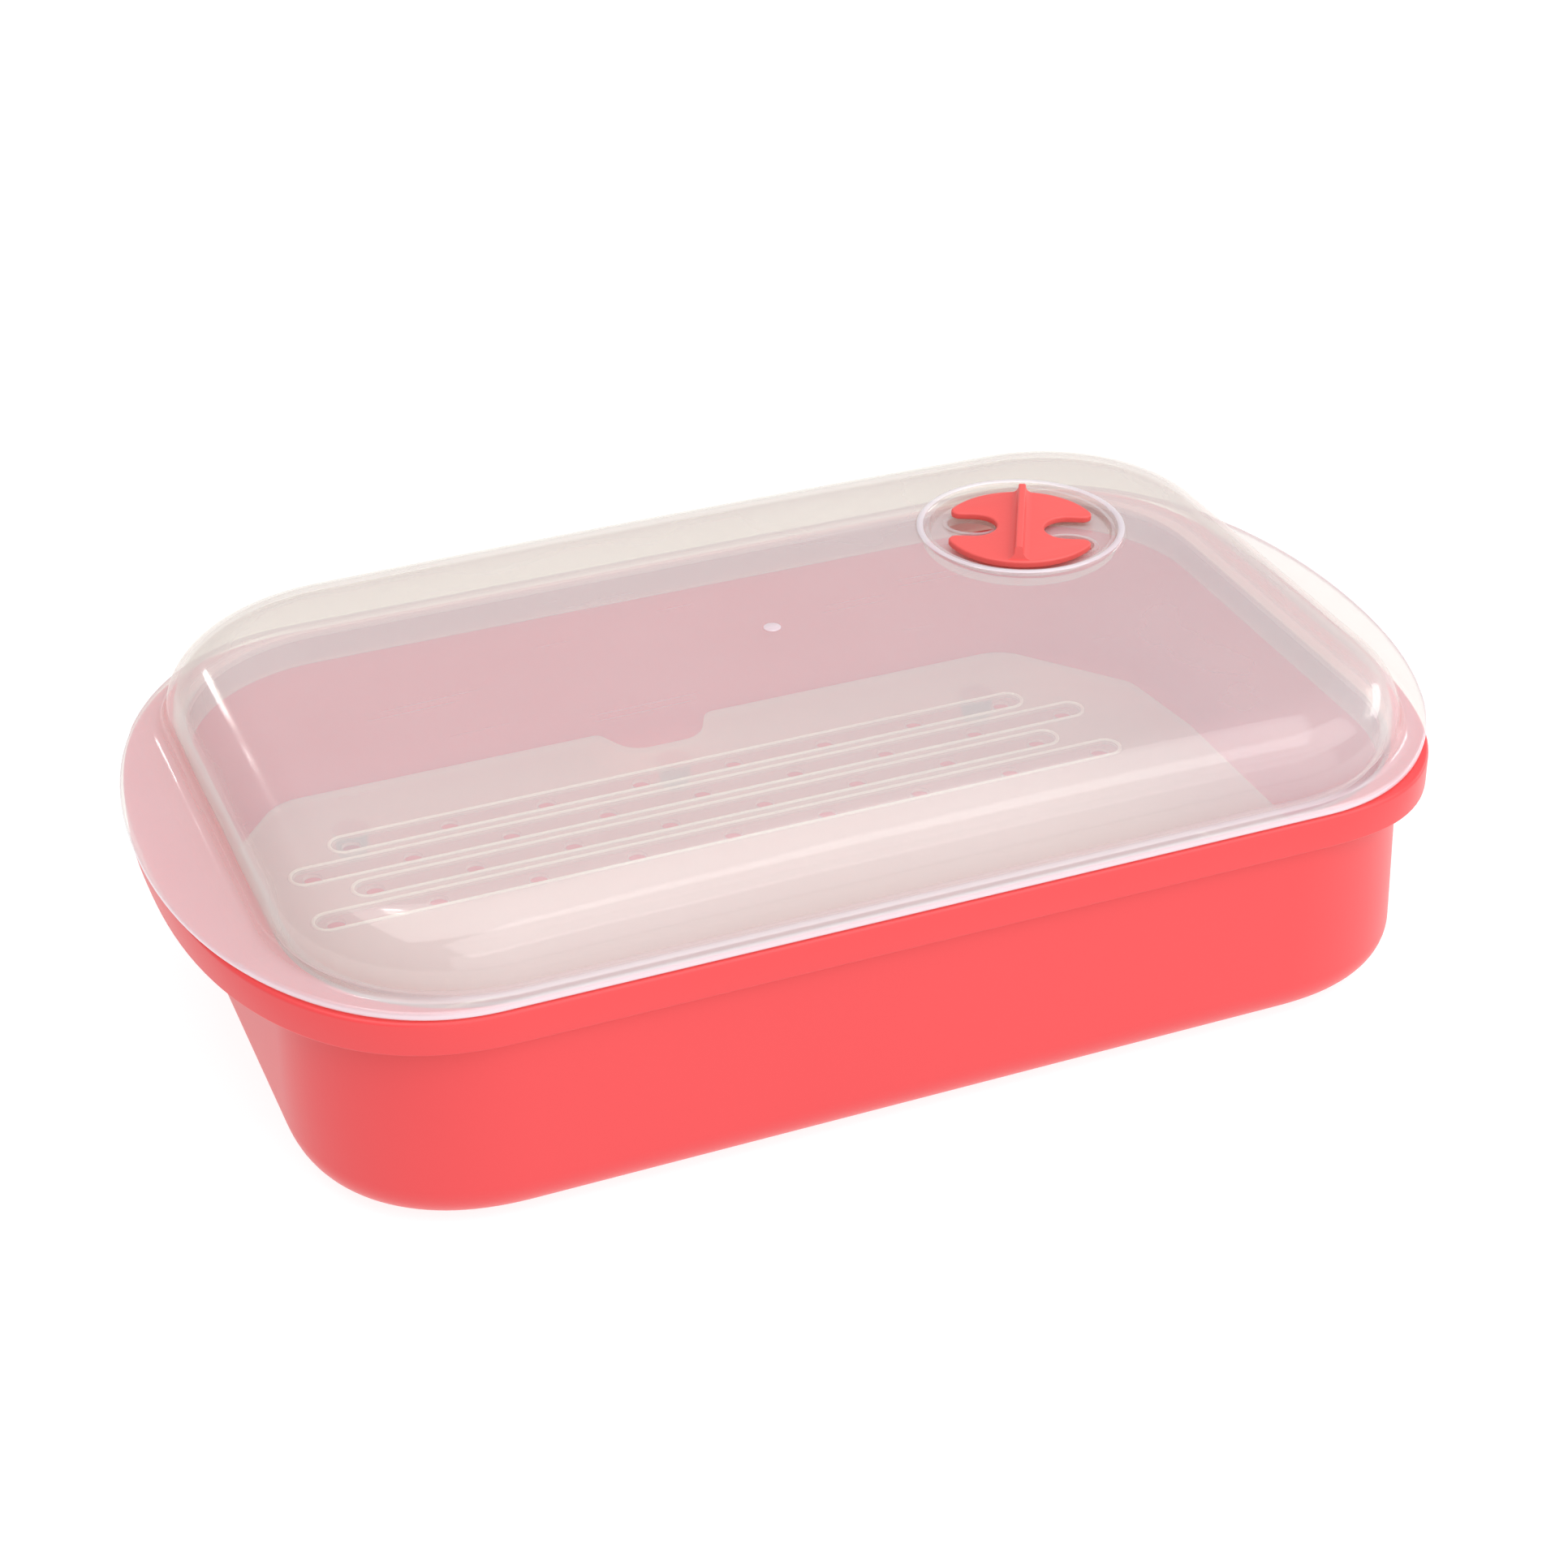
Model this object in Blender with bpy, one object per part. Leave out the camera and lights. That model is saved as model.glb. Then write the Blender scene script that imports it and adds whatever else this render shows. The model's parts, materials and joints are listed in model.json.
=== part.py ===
"""Rectangular microwave steam cooker: container, domed lid, rotary steam valve and steam tray.

Metres, +Z up, +X along the length, origin at the middle of the container's base.
Each piece is one closed solid in its own object, and pieces that touch are GAP apart.
"""
import math
import bpy
import bmesh
from mathutils import Matrix, Vector

COLLECTION = "steam_cooker"
GAP = 0.0003                    # clearance between pieces that rest on each other
EASE = 0.0004                   # small bevel along moulded edges

# Driving sizes. Plan sizes below are set in from the ends and sides of the whole object.
LENGTH = 0.2900                 # over the lid's ears
WIDTH = 0.1672                  # over the container's rim
RIM_TOP = 0.0531
DOME_RISE = 0.0202              # from the rim to the top of the lid's dome
END = 0.5 * LENGTH
SIDE = 0.5 * WIDTH

# Plan of the moulded body: every outline is measured outward from these corner centres.
CORNER_X = END - 0.0594
CORNER_Y = SIDE - 0.0434
END_STEPS = 6                   # points from the middle of an end to the start of a corner
CORNER_STEPS = 12
SIDE_STEPS = 3

# Container
WALL = 0.0018
BASE_HALF_X = END - 0.0170
BASE_HALF_Y = SIDE - 0.0024
BASE_CORNER = 2.30              # exponent of the corner curve at the base, 2 is an ellipse
BASE_FILLET = 0.0096
MOUTH_HALF_X = END - 0.0174
MOUTH_HALF_Y = SIDE - 0.0014
RIM_BOTTOM = RIM_TOP - 0.0077
RIM_PLATE = 0.0018
RIM_STRAIGHT = END - 0.0570     # straight part of the rim's long side, from the middle
GRIP_END_X = END - 0.0016       # reach and corner exponent of the rim's wide ear, at -X
GRIP_CURVE = 2.35
LIFT_END_X = END - 0.0078       # the +X ear is shorter, so the lid overhangs it as a lifting tab
LIFT_CURVE = 2.90
RIM_EDGE = 0.0008

# Lid
FLANGE_BOTTOM = RIM_TOP + GAP
FLANGE_THICK = 0.0019
FLANGE_TOP = FLANGE_BOTTOM + FLANGE_THICK
FLANGE_HALF_Y = SIDE - 0.0004
FLANGE_STRAIGHT = END - 0.0539
FLANGE_CURVE = 2.10
EAR_STEP_X = END - 0.0100       # straight step across each ear of the lid
EAR_STEP = 0.0004
EAR_STEP_RUN = 0.0008
FOOT_HALF_X = END - 0.0168
FOOT_HALF_Y = SIDE - 0.0031
FOOT_RISE = 0.0018              # from the flange to the foot of the dome's shoulder
DOME_INSET = 0.0165             # from the foot of the dome in to the edge of its top panel
DOME_TOP = RIM_TOP + DOME_RISE
CROWN = 0.0013                  # fall of the top panel from the middle to its ends
SHELL = 0.0016
SPIGOT_BOTTOM = RIM_TOP - 0.0065  # locating rib that drops inside the container's mouth
SPIGOT_CLEAR = 0.0008
SPIGOT_THICK = 0.0014
SPIGOT_X = MOUTH_HALF_X - WALL - SPIGOT_CLEAR
SPIGOT_Y = MOUTH_HALF_Y - WALL - SPIGOT_CLEAR
GATE_R = 0.0020
GATE_X = 0.0009
GATE_Y = 0.0064

# Steam valve
VALVE_X = END - 0.0717
VALVE_Y = SIDE - 0.0537
WELL_FLOOR = DOME_TOP - 0.0027
WELL_FLOOR_THICK = 0.0015
WELL_BOTTOM = WELL_FLOOR - WELL_FLOOR_THICK
WELL_R = 0.0212
WELL_FLARE = 0.0008
WELL_WALL = 0.0016
BEAD_R = WELL_R + 0.0024        # centre line of the raised ring round the well
BEAD_HALF = 0.0014
BEAD_TOP = DOME_TOP + 0.0004
BEAD_ROOT = 0.0014              # depth of the ring's foot in the dome
VENT_R = 0.0124                 # vents' distance from the valve's axis
VENT_LONG = 0.0058
VENT_SHORT = 0.0043
VENT_TURN = math.radians(-47.8)
VENT_SLANT = math.radians(-33.0)
STEM_R = 0.0040
STEM_CLEAR = 0.0001
KNOB_R = WELL_R - 0.0028
KNOB_BOTTOM = WELL_FLOOR + 0.0009
KNOB_THICK = 0.0017
KNOB_TOP = KNOB_BOTTOM + KNOB_THICK
KNOB_TURN = math.radians(62.7)  # direction of the grip at rest
NOTCH_HALF = 0.0056
NOTCH_CENTRE = 0.0111
LOBE_FILLET = 0.0020
FIN_TOP = DOME_TOP + 0.0028
FIN_HALF = 0.0009
FIN_BASE_HALF = 0.0038
FIN_FLANK = 0.0022              # height of the hollow flank on each side of the fin
FIN_LENGTH = 0.0350
FIN_LEAN = 0.35                 # slope of the fin's two ends
HUB_R = STEM_R + 0.0014
BARB_R = STEM_R + 0.0008
STEM_BOTTOM = WELL_FLOOR - 0.0038
SPLIT = 0.0014
SPLIT_TOP = STEM_BOTTOM + 0.0038

# Steam tray
TRAY_X = -0.0028                # the tray has end play and sits against the near end
TRAY_TOP = WALL + 0.0095
TRAY_THICK = 0.0020
TRAY_HALF_X = END - 0.0224
TRAY_HALF_Y = SIDE - 0.0052
TRAY_CUT_X = TRAY_HALF_X - 0.0266  # where the corner cut leaves the long side
TRAY_KNEE_X = TRAY_HALF_X - 0.0033
TRAY_KNEE_Y = TRAY_HALF_Y - 0.0284
TRAY_END_Y = 0.5 * TRAY_KNEE_Y
TRAY_CORNER_R = 0.0120
TRAY_KNEE_R = 0.0100
TRAY_END_R = 0.0040
FINGER_HALF = 0.0125
FINGER_FLARE = 0.0050           # how much wider the finger notch is at its mouth, each side
FINGER_DEEP = 0.0105
FINGER_R = 0.0075
FINGER_MOUTH_R = 0.0030
LONG_ROW = 9                    # holes in the long rows; the rows between have one fewer
ROWS = 4                        # on each side of the middle
ROW_FIRST = 0.296 * TRAY_HALF_Y # the inmost row's distance from the tray's middle line
ROW_PITCH = (TRAY_HALF_Y - 0.0250 - ROW_FIRST) / (ROWS - 1)
HOLE_PITCH = 2.0 * (TRAY_HALF_X - 0.0262) / (LONG_ROW - 1)
HOLE_R = 0.0023
GROOVE_HALF = 0.0029
GROOVE_END = 0.0045
GROOVE_DEEP = 0.0008
LEG_R = 0.0045
LEG_TAPER = 0.75
LEG_X = 0.67 * TRAY_HALF_X
LEG_Y = TRAY_HALF_Y - 0.0154

CUT = 0.0020                    # how far a cutter stands past the face it opens

for old in list(bpy.data.objects):
    bpy.data.objects.remove(old, do_unlink=True)
coll = bpy.data.collections.new(COLLECTION)
bpy.context.scene.collection.children.link(coll)
tools = bpy.data.collections.new("tools")
bpy.context.scene.collection.children.link(tools)


def material(name, colour, rough, alpha=1.0, transmission=0.0):
    mat = bpy.data.materials.new(name)
    mat.use_nodes = True
    bsdf = mat.node_tree.nodes["Principled BSDF"]
    bsdf.inputs["Base Color"].default_value = (*colour, 1.0)
    bsdf.inputs["Roughness"].default_value = rough
    bsdf.inputs["Transmission Weight"].default_value = transmission
    bsdf.inputs["Alpha"].default_value = alpha
    return mat


MAT_CONTAINER = material("coral_pp", (0.95, 0.10, 0.11), 0.35)
MAT_LID = material("milky_pp", (0.86, 0.84, 0.82), 0.25, alpha=0.45)
MAT_VALVE = material("coral_pp_valve", (0.95, 0.11, 0.12), 0.40)
MAT_TRAY = material("natural_pp", (0.84, 0.80, 0.80), 0.35, alpha=0.6)


def place(obj, where, mat=None):
    for c in list(obj.users_collection):
        c.objects.unlink(obj)
    where.objects.link(obj)
    if mat is not None:
        obj.data.materials.clear()
        obj.data.materials.append(mat)
    return obj


def as_tool(obj):
    place(obj, tools)
    obj.hide_render = True
    obj.display_type = "WIRE"
    return obj


def stations():
    """One turn of (corner centre, outward direction) pairs shared by every outline."""
    quarter = []
    for i in range(END_STEPS):
        quarter.append(((CORNER_X, CORNER_Y * i / END_STEPS), (1.0, 0.0)))
    for i in range(CORNER_STEPS + 1):
        a = 0.5 * math.pi * i / CORNER_STEPS
        quarter.append(((CORNER_X, CORNER_Y), (math.cos(a), math.sin(a))))
    for i in range(1, SIDE_STEPS):
        quarter.append(((CORNER_X * (1 - i / SIDE_STEPS), CORNER_Y), (0.0, 1.0)))
    quarter.append(((0.0, CORNER_Y), (0.0, 1.0)))
    half = quarter + [((-o[0], o[1]), (-d[0], d[1])) for o, d in reversed(quarter[:-1])]
    return half + [((o[0], -o[1]), (d[0], -d[1])) for o, d in reversed(half[1:-1])]


STATIONS = stations()


def box_outline(half_x, half_y, curve=2.0):
    """Rounded rectangle: the corner is part of a superellipse about the corner centre."""
    a = half_x - CORNER_X
    b = half_y - CORNER_Y
    out = []
    for o, d in STATIONS:
        r = (abs(d[0] / a) ** curve + abs(d[1] / b) ** curve) ** (-1.0 / curve)
        out.append((o[0] + d[0] * r, o[1] + d[1] * r))
    return out


def ear_outline(half_y, straight, right, left, inset=0.0):
    """Straight long sides that bow out into an ear at each end, met along the same rays.

    right and left give each ear's reach along X and the exponent of its curve.
    """
    out = []
    for o, d in STATIONS:
        reach, curve = right if o[0] > 0.0 else left
        a = reach - straight
        near, far = 0.0, 0.12
        for _ in range(40):
            r = 0.5 * (near + far)
            u = max(0.0, abs(o[0] + d[0] * r) - straight) / a
            v = abs(o[1] + d[1] * r) / half_y
            if u ** curve + v ** curve < 1.0:
                near = r
            else:
                far = r
        out.append((o[0] + d[0] * (near - inset), o[1] + d[1] * (near - inset)))
    return out


def level(outline, z):
    return [(x, y, z) for x, y in outline]


def loft(name, rings, close_ring=False, flat_ends=False):
    """Skin through rings of equal count; the first and last are capped unless the loft closes.

    Caps are fans about their middle; flat_ends makes each one a single flat face instead.
    """
    bm = bmesh.new()
    rows = [[bm.verts.new(p) for p in ring] for ring in rings]
    n = len(rings[0])
    pairs = list(zip(rows, rows[1:]))
    if close_ring:
        pairs.append((rows[-1], rows[0]))
    for low, high in pairs:
        for i in range(n):
            j = (i + 1) % n
            bm.faces.new((low[i], low[j], high[j], high[i]))
    if flat_ends:
        bm.faces.new(list(reversed(rows[0])))
        bm.faces.new(rows[-1])
    elif not close_ring:
        for row, flip in ((rows[0], True), (rows[-1], False)):
            hub = bm.verts.new(sum((v.co for v in row), Vector()) / n)
            for i in range(n):
                j = (i + 1) % n
                bm.faces.new((row[j], row[i], hub) if flip else (row[i], row[j], hub))
    bmesh.ops.recalc_face_normals(bm, faces=bm.faces)
    mesh = bpy.data.meshes.new(name)
    bm.to_mesh(mesh)
    bm.free()
    obj = bpy.data.objects.new(name, mesh)
    coll.objects.link(obj)
    return obj


def prism(name, points, z0, z1, edge=0.0):
    """Flat outline given thickness: a filled 2D curve, its edges rounded by the curve's bevel."""
    curve = bpy.data.curves.new(name, "CURVE")
    curve.dimensions = "2D"
    curve.fill_mode = "BOTH"
    curve.extrude = 0.5 * (z1 - z0) - edge
    curve.bevel_depth = edge
    curve.bevel_resolution = 1
    curve.offset = -edge
    spline = curve.splines.new("POLY")
    spline.points.add(len(points) - 1)
    for p, (x, y) in zip(spline.points, points):
        p.co = (x, y, 0.0, 1.0)
    spline.use_cyclic_u = True
    temp = bpy.data.objects.new(name + "_curve", curve)
    coll.objects.link(temp)
    bpy.context.view_layer.update()
    graph = bpy.context.evaluated_depsgraph_get()
    mesh = bpy.data.meshes.new_from_object(temp.evaluated_get(graph))
    bpy.data.objects.remove(temp, do_unlink=True)
    bm = bmesh.new()
    bm.from_mesh(mesh)
    bmesh.ops.remove_doubles(bm, verts=bm.verts, dist=1e-6)
    bmesh.ops.translate(bm, verts=bm.verts, vec=(0.0, 0.0, 0.5 * (z0 + z1)))
    bmesh.ops.recalc_face_normals(bm, faces=bm.faces)
    bm.to_mesh(mesh)
    bm.free()
    obj = bpy.data.objects.new(name, mesh)
    coll.objects.link(obj)
    return obj


def cylinder(name, x, y, z0, z1, r0, r1=None, segments=48):
    bm = bmesh.new()
    bmesh.ops.create_cone(bm, cap_ends=True, segments=segments, radius1=r0,
                          radius2=r0 if r1 is None else r1, depth=z1 - z0)
    bmesh.ops.translate(bm, verts=bm.verts, vec=(x, y, 0.5 * (z0 + z1)))
    mesh = bpy.data.meshes.new(name)
    bm.to_mesh(mesh)
    bm.free()
    obj = bpy.data.objects.new(name, mesh)
    coll.objects.link(obj)
    return obj


def circle(x, y, r, z, segments):
    out = []
    for k in range(segments):
        t = 2 * math.pi * k / segments
        out.append((x + r * math.cos(t), y + r * math.sin(t), z))
    return out


def turned_piece(name, x, y, profile, segments=48):
    """Solid of revolution about a vertical axis through (x, y), profile from bottom to top."""
    return loft(name, [circle(x, y, r, z, segments) for r, z in profile])


def box(name, size, centre, turn=0.0):
    bm = bmesh.new()
    bmesh.ops.create_cube(bm, size=1.0)
    bmesh.ops.scale(bm, verts=bm.verts, vec=size)
    bmesh.ops.rotate(bm, verts=bm.verts, matrix=Matrix.Rotation(turn, 3, "Z"))
    bmesh.ops.translate(bm, verts=bm.verts, vec=centre)
    bmesh.ops.recalc_face_normals(bm, faces=bm.faces)
    mesh = bpy.data.meshes.new(name)
    bm.to_mesh(mesh)
    bm.free()
    obj = bpy.data.objects.new(name, mesh)
    coll.objects.link(obj)
    return obj


def boolean(target, tool, operation):
    as_tool(tool)
    mod = target.modifiers.new(operation.lower(), "BOOLEAN")
    mod.operation = operation
    mod.solver = "EXACT"
    mod.object = tool
    bpy.context.view_layer.update()
    graph = bpy.context.evaluated_depsgraph_get()
    mesh = bpy.data.meshes.new_from_object(target.evaluated_get(graph))
    target.modifiers.remove(mod)
    old = target.data
    target.data = mesh
    bpy.data.meshes.remove(old)
    bpy.data.objects.remove(tool, do_unlink=True)
    return target


def join_tools(name, objs):
    """Separate cutters that don't overlap, gathered into one mesh for a single Boolean."""
    bm = bmesh.new()
    for o in objs:
        part = o.data.copy()
        part.transform(o.matrix_world)
        bm.from_mesh(part)
        bpy.data.meshes.remove(part)
        bpy.data.objects.remove(o, do_unlink=True)
    mesh = bpy.data.meshes.new(name)
    bm.to_mesh(mesh)
    bm.free()
    obj = bpy.data.objects.new(name, mesh)
    coll.objects.link(obj)
    return obj


def finish(obj, mat, angle=35.0, origin=None):
    """Merge stray doubles, set the material and origin, and shade by angle."""
    bm = bmesh.new()
    bm.from_mesh(obj.data)
    bmesh.ops.remove_doubles(bm, verts=bm.verts, dist=2e-6)
    bmesh.ops.dissolve_degenerate(bm, edges=bm.edges, dist=1e-6)
    bmesh.ops.recalc_face_normals(bm, faces=bm.faces)
    for f in bm.faces:
        f.smooth = True
    for e in bm.edges:
        e.smooth = not (len(e.link_faces) == 2 and e.calc_face_angle(0.0) > math.radians(angle))
    if origin is not None:
        bmesh.ops.translate(bm, verts=bm.verts, vec=-Vector(origin))
    bm.to_mesh(obj.data)
    bm.free()
    if origin is not None:
        obj.location = origin
    place(obj, coll, mat)
    return obj


# ---------------------------------------------------------------- container
def body_at(z, inset):
    """Half sizes and corner exponent of the drafted body wall at a height."""
    t = max(0.0, z) / RIM_TOP
    hx = BASE_HALF_X + (MOUTH_HALF_X - BASE_HALF_X) * t - inset
    hy = BASE_HALF_Y + (MOUTH_HALF_Y - BASE_HALF_Y) * t - inset
    return box_outline(hx, hy, BASE_CORNER + (2.0 - BASE_CORNER) * t)


def body_rings(floor, fillet, inset, top):
    rings = []
    for i in range(6):
        a = 0.5 * math.pi * i / 5
        z = floor + fillet * (1 - math.cos(a))
        rings.append(level(body_at(z, inset + fillet * (1 - math.sin(a))), z))
    rings.append(level(body_at(0.5 * (top + floor), inset), 0.5 * (top + floor)))
    rings.append(level(body_at(top, inset), top))
    return rings


def rim_outline(inset=0.0):
    lift, grip = (LIFT_END_X, LIFT_CURVE), (GRIP_END_X, GRIP_CURVE)
    return ear_outline(SIDE, RIM_STRAIGHT, lift, grip, inset)


container = loft("container", [
    level(rim_outline(0.0003), RIM_BOTTOM),
    level(rim_outline(0.0), RIM_BOTTOM + EASE),
    level(rim_outline(0.0), RIM_TOP - RIM_EDGE),
    level(rim_outline(RIM_EDGE * 0.3), RIM_TOP - RIM_EDGE * 0.3),
    level(rim_outline(RIM_EDGE), RIM_TOP),
])
boolean(container, loft("rim_underside", [
    level(rim_outline(WALL), RIM_BOTTOM - CUT),
    level(rim_outline(WALL), RIM_TOP - RIM_PLATE),
]), "DIFFERENCE")
boolean(container, loft("body", body_rings(0.0, BASE_FILLET, 0.0, RIM_TOP - 0.0002)), "UNION")
boolean(container, loft("cavity", body_rings(WALL, BASE_FILLET - WALL, WALL, RIM_TOP + CUT)),
        "DIFFERENCE")
finish(container, MAT_CONTAINER)


# ---------------------------------------------------------------- lid
def crown(x, z):
    return z - CROWN * (x / (FOOT_HALF_X - DOME_INSET)) ** 2


def flange_outline(inset=0.0):
    ear = (END, FLANGE_CURVE)
    return ear_outline(FLANGE_HALF_Y, FLANGE_STRAIGHT, ear, ear, inset)


def dome_rings(foot_z, top_z, inset):
    """Quarter-ellipse shoulder from the foot to the top panel, then the crowned panel."""
    rings = []
    wide = DOME_INSET - inset
    tall = top_z - foot_z
    for i in range(1, 9):
        a = 0.5 * math.pi * i / 8.6
        step = inset + wide * (1 - math.cos(a))
        z = foot_z + tall * math.sin(a)
        outline = box_outline(FOOT_HALF_X - step, FOOT_HALF_Y - step)
        share = math.sin(a) ** 2
        rings.append([(x, y, z + share * (crown(x, z) - z)) for x, y in outline])
    rim = box_outline(FOOT_HALF_X - DOME_INSET, FOOT_HALF_Y - DOME_INSET)
    for s in (1.0, 0.80, 0.55, 0.30, 0.10):
        rings.append([(x * s, y * s, crown(x * s, top_z)) for x, y in rim])
    return rings


def ear_dip(outline, z):
    """The ears outboard of their straight step lie a little lower than the rest of the flange."""
    out = []
    for x, y in outline:
        t = min(1.0, max(0.0, (abs(x) - EAR_STEP_X) / EAR_STEP_RUN + 0.5))
        out.append((x, y, z - EAR_STEP * t))
    return out


def foot_outline(out_x, out_y):
    return box_outline(FOOT_HALF_X + out_x, FOOT_HALF_Y + out_y)


def spigot_outline(inset):
    return box_outline(SPIGOT_X - inset, SPIGOT_Y - inset)


lid = loft("lid", list(reversed(dome_rings(FLANGE_TOP + 0.0012, DOME_TOP - SHELL, SHELL))) + [
    level(foot_outline(-SHELL, -SHELL), FLANGE_TOP + 0.0010),
    level(foot_outline(-SHELL - 0.0002, -SHELL - 0.0002), FLANGE_TOP),
    level(spigot_outline(SPIGOT_THICK), FLANGE_TOP - 0.0002),
    level(spigot_outline(SPIGOT_THICK), FLANGE_BOTTOM - 0.0010),
    level(spigot_outline(SPIGOT_THICK), SPIGOT_BOTTOM),
    level(spigot_outline(0.0003), SPIGOT_BOTTOM),
    level(spigot_outline(0.0), SPIGOT_BOTTOM + EASE),
    level(spigot_outline(0.0), FLANGE_BOTTOM),
    level(flange_outline(EASE), FLANGE_BOTTOM),
    level(flange_outline(0.0), FLANGE_BOTTOM + EASE),
    ear_dip(flange_outline(0.0), FLANGE_TOP - 0.0006),
    ear_dip(flange_outline(0.0002), FLANGE_TOP - 0.0002),
    ear_dip(flange_outline(0.0006), FLANGE_TOP),
    level(foot_outline(0.0020, 0.0016), FLANGE_TOP),
    level(foot_outline(0.0009, 0.0007), FLANGE_TOP + 0.0004),
    level(foot_outline(0.0002, 0.0001), FLANGE_TOP + 0.0011),
] + dome_rings(FLANGE_TOP + FOOT_RISE, DOME_TOP, 0.0))


def bead():
    """Half-round ring, its foot sunk in the dome so that it joins cleanly."""
    section = [(BEAD_R + BEAD_HALF, DOME_TOP - BEAD_ROOT - EASE),
               (BEAD_R - BEAD_HALF, DOME_TOP - BEAD_ROOT - EASE)]
    for i in range(7):
        a = math.pi * i / 6
        section.append((BEAD_R - BEAD_HALF * math.cos(a),
                        DOME_TOP - BEAD_ROOT + (BEAD_TOP - DOME_TOP + BEAD_ROOT) * math.sin(a)))
    return loft("bead", [circle(VALVE_X, VALVE_Y, r, z, 72) for r, z in section], close_ring=True)


boolean(lid, cylinder("well_cup", VALVE_X, VALVE_Y, WELL_BOTTOM, DOME_TOP - 0.5 * SHELL,
                      WELL_R + WELL_WALL, segments=72), "UNION")
boolean(lid, bead(), "UNION")
boolean(lid, cylinder("well", VALVE_X, VALVE_Y, WELL_FLOOR, DOME_TOP + 2.0 * CUT, WELL_R,
                      WELL_R + WELL_FLARE, segments=72), "DIFFERENCE")


def vent(sign):
    cx = VALVE_X + sign * VENT_R * math.cos(VENT_TURN)
    cy = VALVE_Y + sign * VENT_R * math.sin(VENT_TURN)
    ux, uy = math.cos(VENT_SLANT), math.sin(VENT_SLANT)
    pts = []
    for k in range(36):
        t = 2 * math.pi * k / 36
        p = VENT_LONG * math.cos(t)
        q = VENT_SHORT * math.sin(t)
        pts.append((cx + ux * p - uy * q, cy + uy * p + ux * q))
    return prism("vent", pts, WELL_BOTTOM - CUT, WELL_FLOOR + CUT)


boolean(lid, join_tools("vents", [
    vent(1), vent(-1),
    cylinder("stem_hole", VALVE_X, VALVE_Y, WELL_BOTTOM - CUT, WELL_FLOOR + CUT,
             STEM_R + STEM_CLEAR),
]), "DIFFERENCE")
boolean(lid, cylinder("gate_mark", GATE_X, GATE_Y, DOME_TOP - 0.0004, DOME_TOP + 0.0003, GATE_R,
                      GATE_R * 0.8, segments=24), "UNION")
finish(lid, MAT_LID)


# ---------------------------------------------------------------- steam valve
def knob_outline():
    """Disc with two U-shaped notches along local X; the grip runs along local Y."""
    r = KNOB_R
    f = LOBE_FILLET
    cy = NOTCH_HALF + f
    cx = math.sqrt((r - f) ** 2 - cy ** 2)
    lobe = math.atan2(cy, cx)
    half = []
    for i in range(13):
        a = math.radians(-90 - 180 * i / 12)
        half.append((NOTCH_CENTRE + NOTCH_HALF * math.cos(a), NOTCH_HALF * math.sin(a)))
    for i in range(5):
        a = -0.5 * math.pi + (lobe + 0.5 * math.pi) * i / 4
        half.append((cx + f * math.cos(a), cy + f * math.sin(a)))
    steps = 24
    for i in range(1, steps):
        a = lobe + (math.pi - 2 * lobe) * i / steps
        half.append((r * math.cos(a), r * math.sin(a)))
    for i in range(5):
        a = math.pi - lobe + (lobe + 0.5 * math.pi) * i / 4
        half.append((-cx + f * math.cos(a), cy + f * math.sin(a)))
    return half + [(-x, -y) for x, y in half]


def turned(points):
    c, s = math.cos(KNOB_TURN - 0.5 * math.pi), math.sin(KNOB_TURN - 0.5 * math.pi)
    return [(VALVE_X + c * x - s * y, VALVE_Y + s * x + c * y) for x, y in points]


def fin_section():
    """One side of the fin's section, from its foot in the knob up to the middle of its top."""
    out = [(FIN_BASE_HALF, KNOB_BOTTOM + 0.0006)]
    for i in range(6):
        a = 0.5 * math.pi * i / 5
        out.append((FIN_BASE_HALF - (FIN_BASE_HALF - FIN_HALF) * math.sin(a),
                    KNOB_TOP - 0.0002 + FIN_FLANK * (1 - math.cos(a))))
    out += [(FIN_HALF, FIN_TOP - 0.0005), (FIN_HALF - 0.0002, FIN_TOP - 0.0001),
            (FIN_HALF - 0.0005, FIN_TOP)]
    return out + [(-w, z) for w, z in reversed(out)]


def fin():
    rings = []
    for way in (-1, 1):
        ring = []
        for w, z in fin_section():
            along = way * (0.5 * FIN_LENGTH - FIN_LEAN * (z - KNOB_TOP))
            (px, py), = turned([(w, along)])
            ring.append((px, py, z))
        rings.append(ring)
    return loft("fin", rings, flat_ends=True)


valve = prism("vent_valve", turned(knob_outline()), KNOB_BOTTOM, KNOB_TOP, edge=EASE)
boolean(valve, fin(), "UNION")
stem = turned_piece("stem", VALVE_X, VALVE_Y, [
    (STEM_R - 0.0006, STEM_BOTTOM),
    (BARB_R, WELL_BOTTOM - GAP - 0.0003),
    (BARB_R - 0.0002, WELL_BOTTOM - GAP),
    (STEM_R, WELL_BOTTOM - GAP),
    (STEM_R, WELL_FLOOR + GAP),
    (HUB_R, WELL_FLOOR + GAP),
    (HUB_R, KNOB_BOTTOM + EASE),
])
split_low = STEM_BOTTOM - CUT
boolean(stem, box("split", (4.0 * STEM_R, SPLIT, SPLIT_TOP - split_low),
                  (VALVE_X, VALVE_Y, 0.5 * (SPLIT_TOP + split_low)), KNOB_TURN), "DIFFERENCE")
boolean(valve, stem, "UNION")
finish(valve, MAT_VALVE, origin=(VALVE_X, VALVE_Y, KNOB_BOTTOM))


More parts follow.
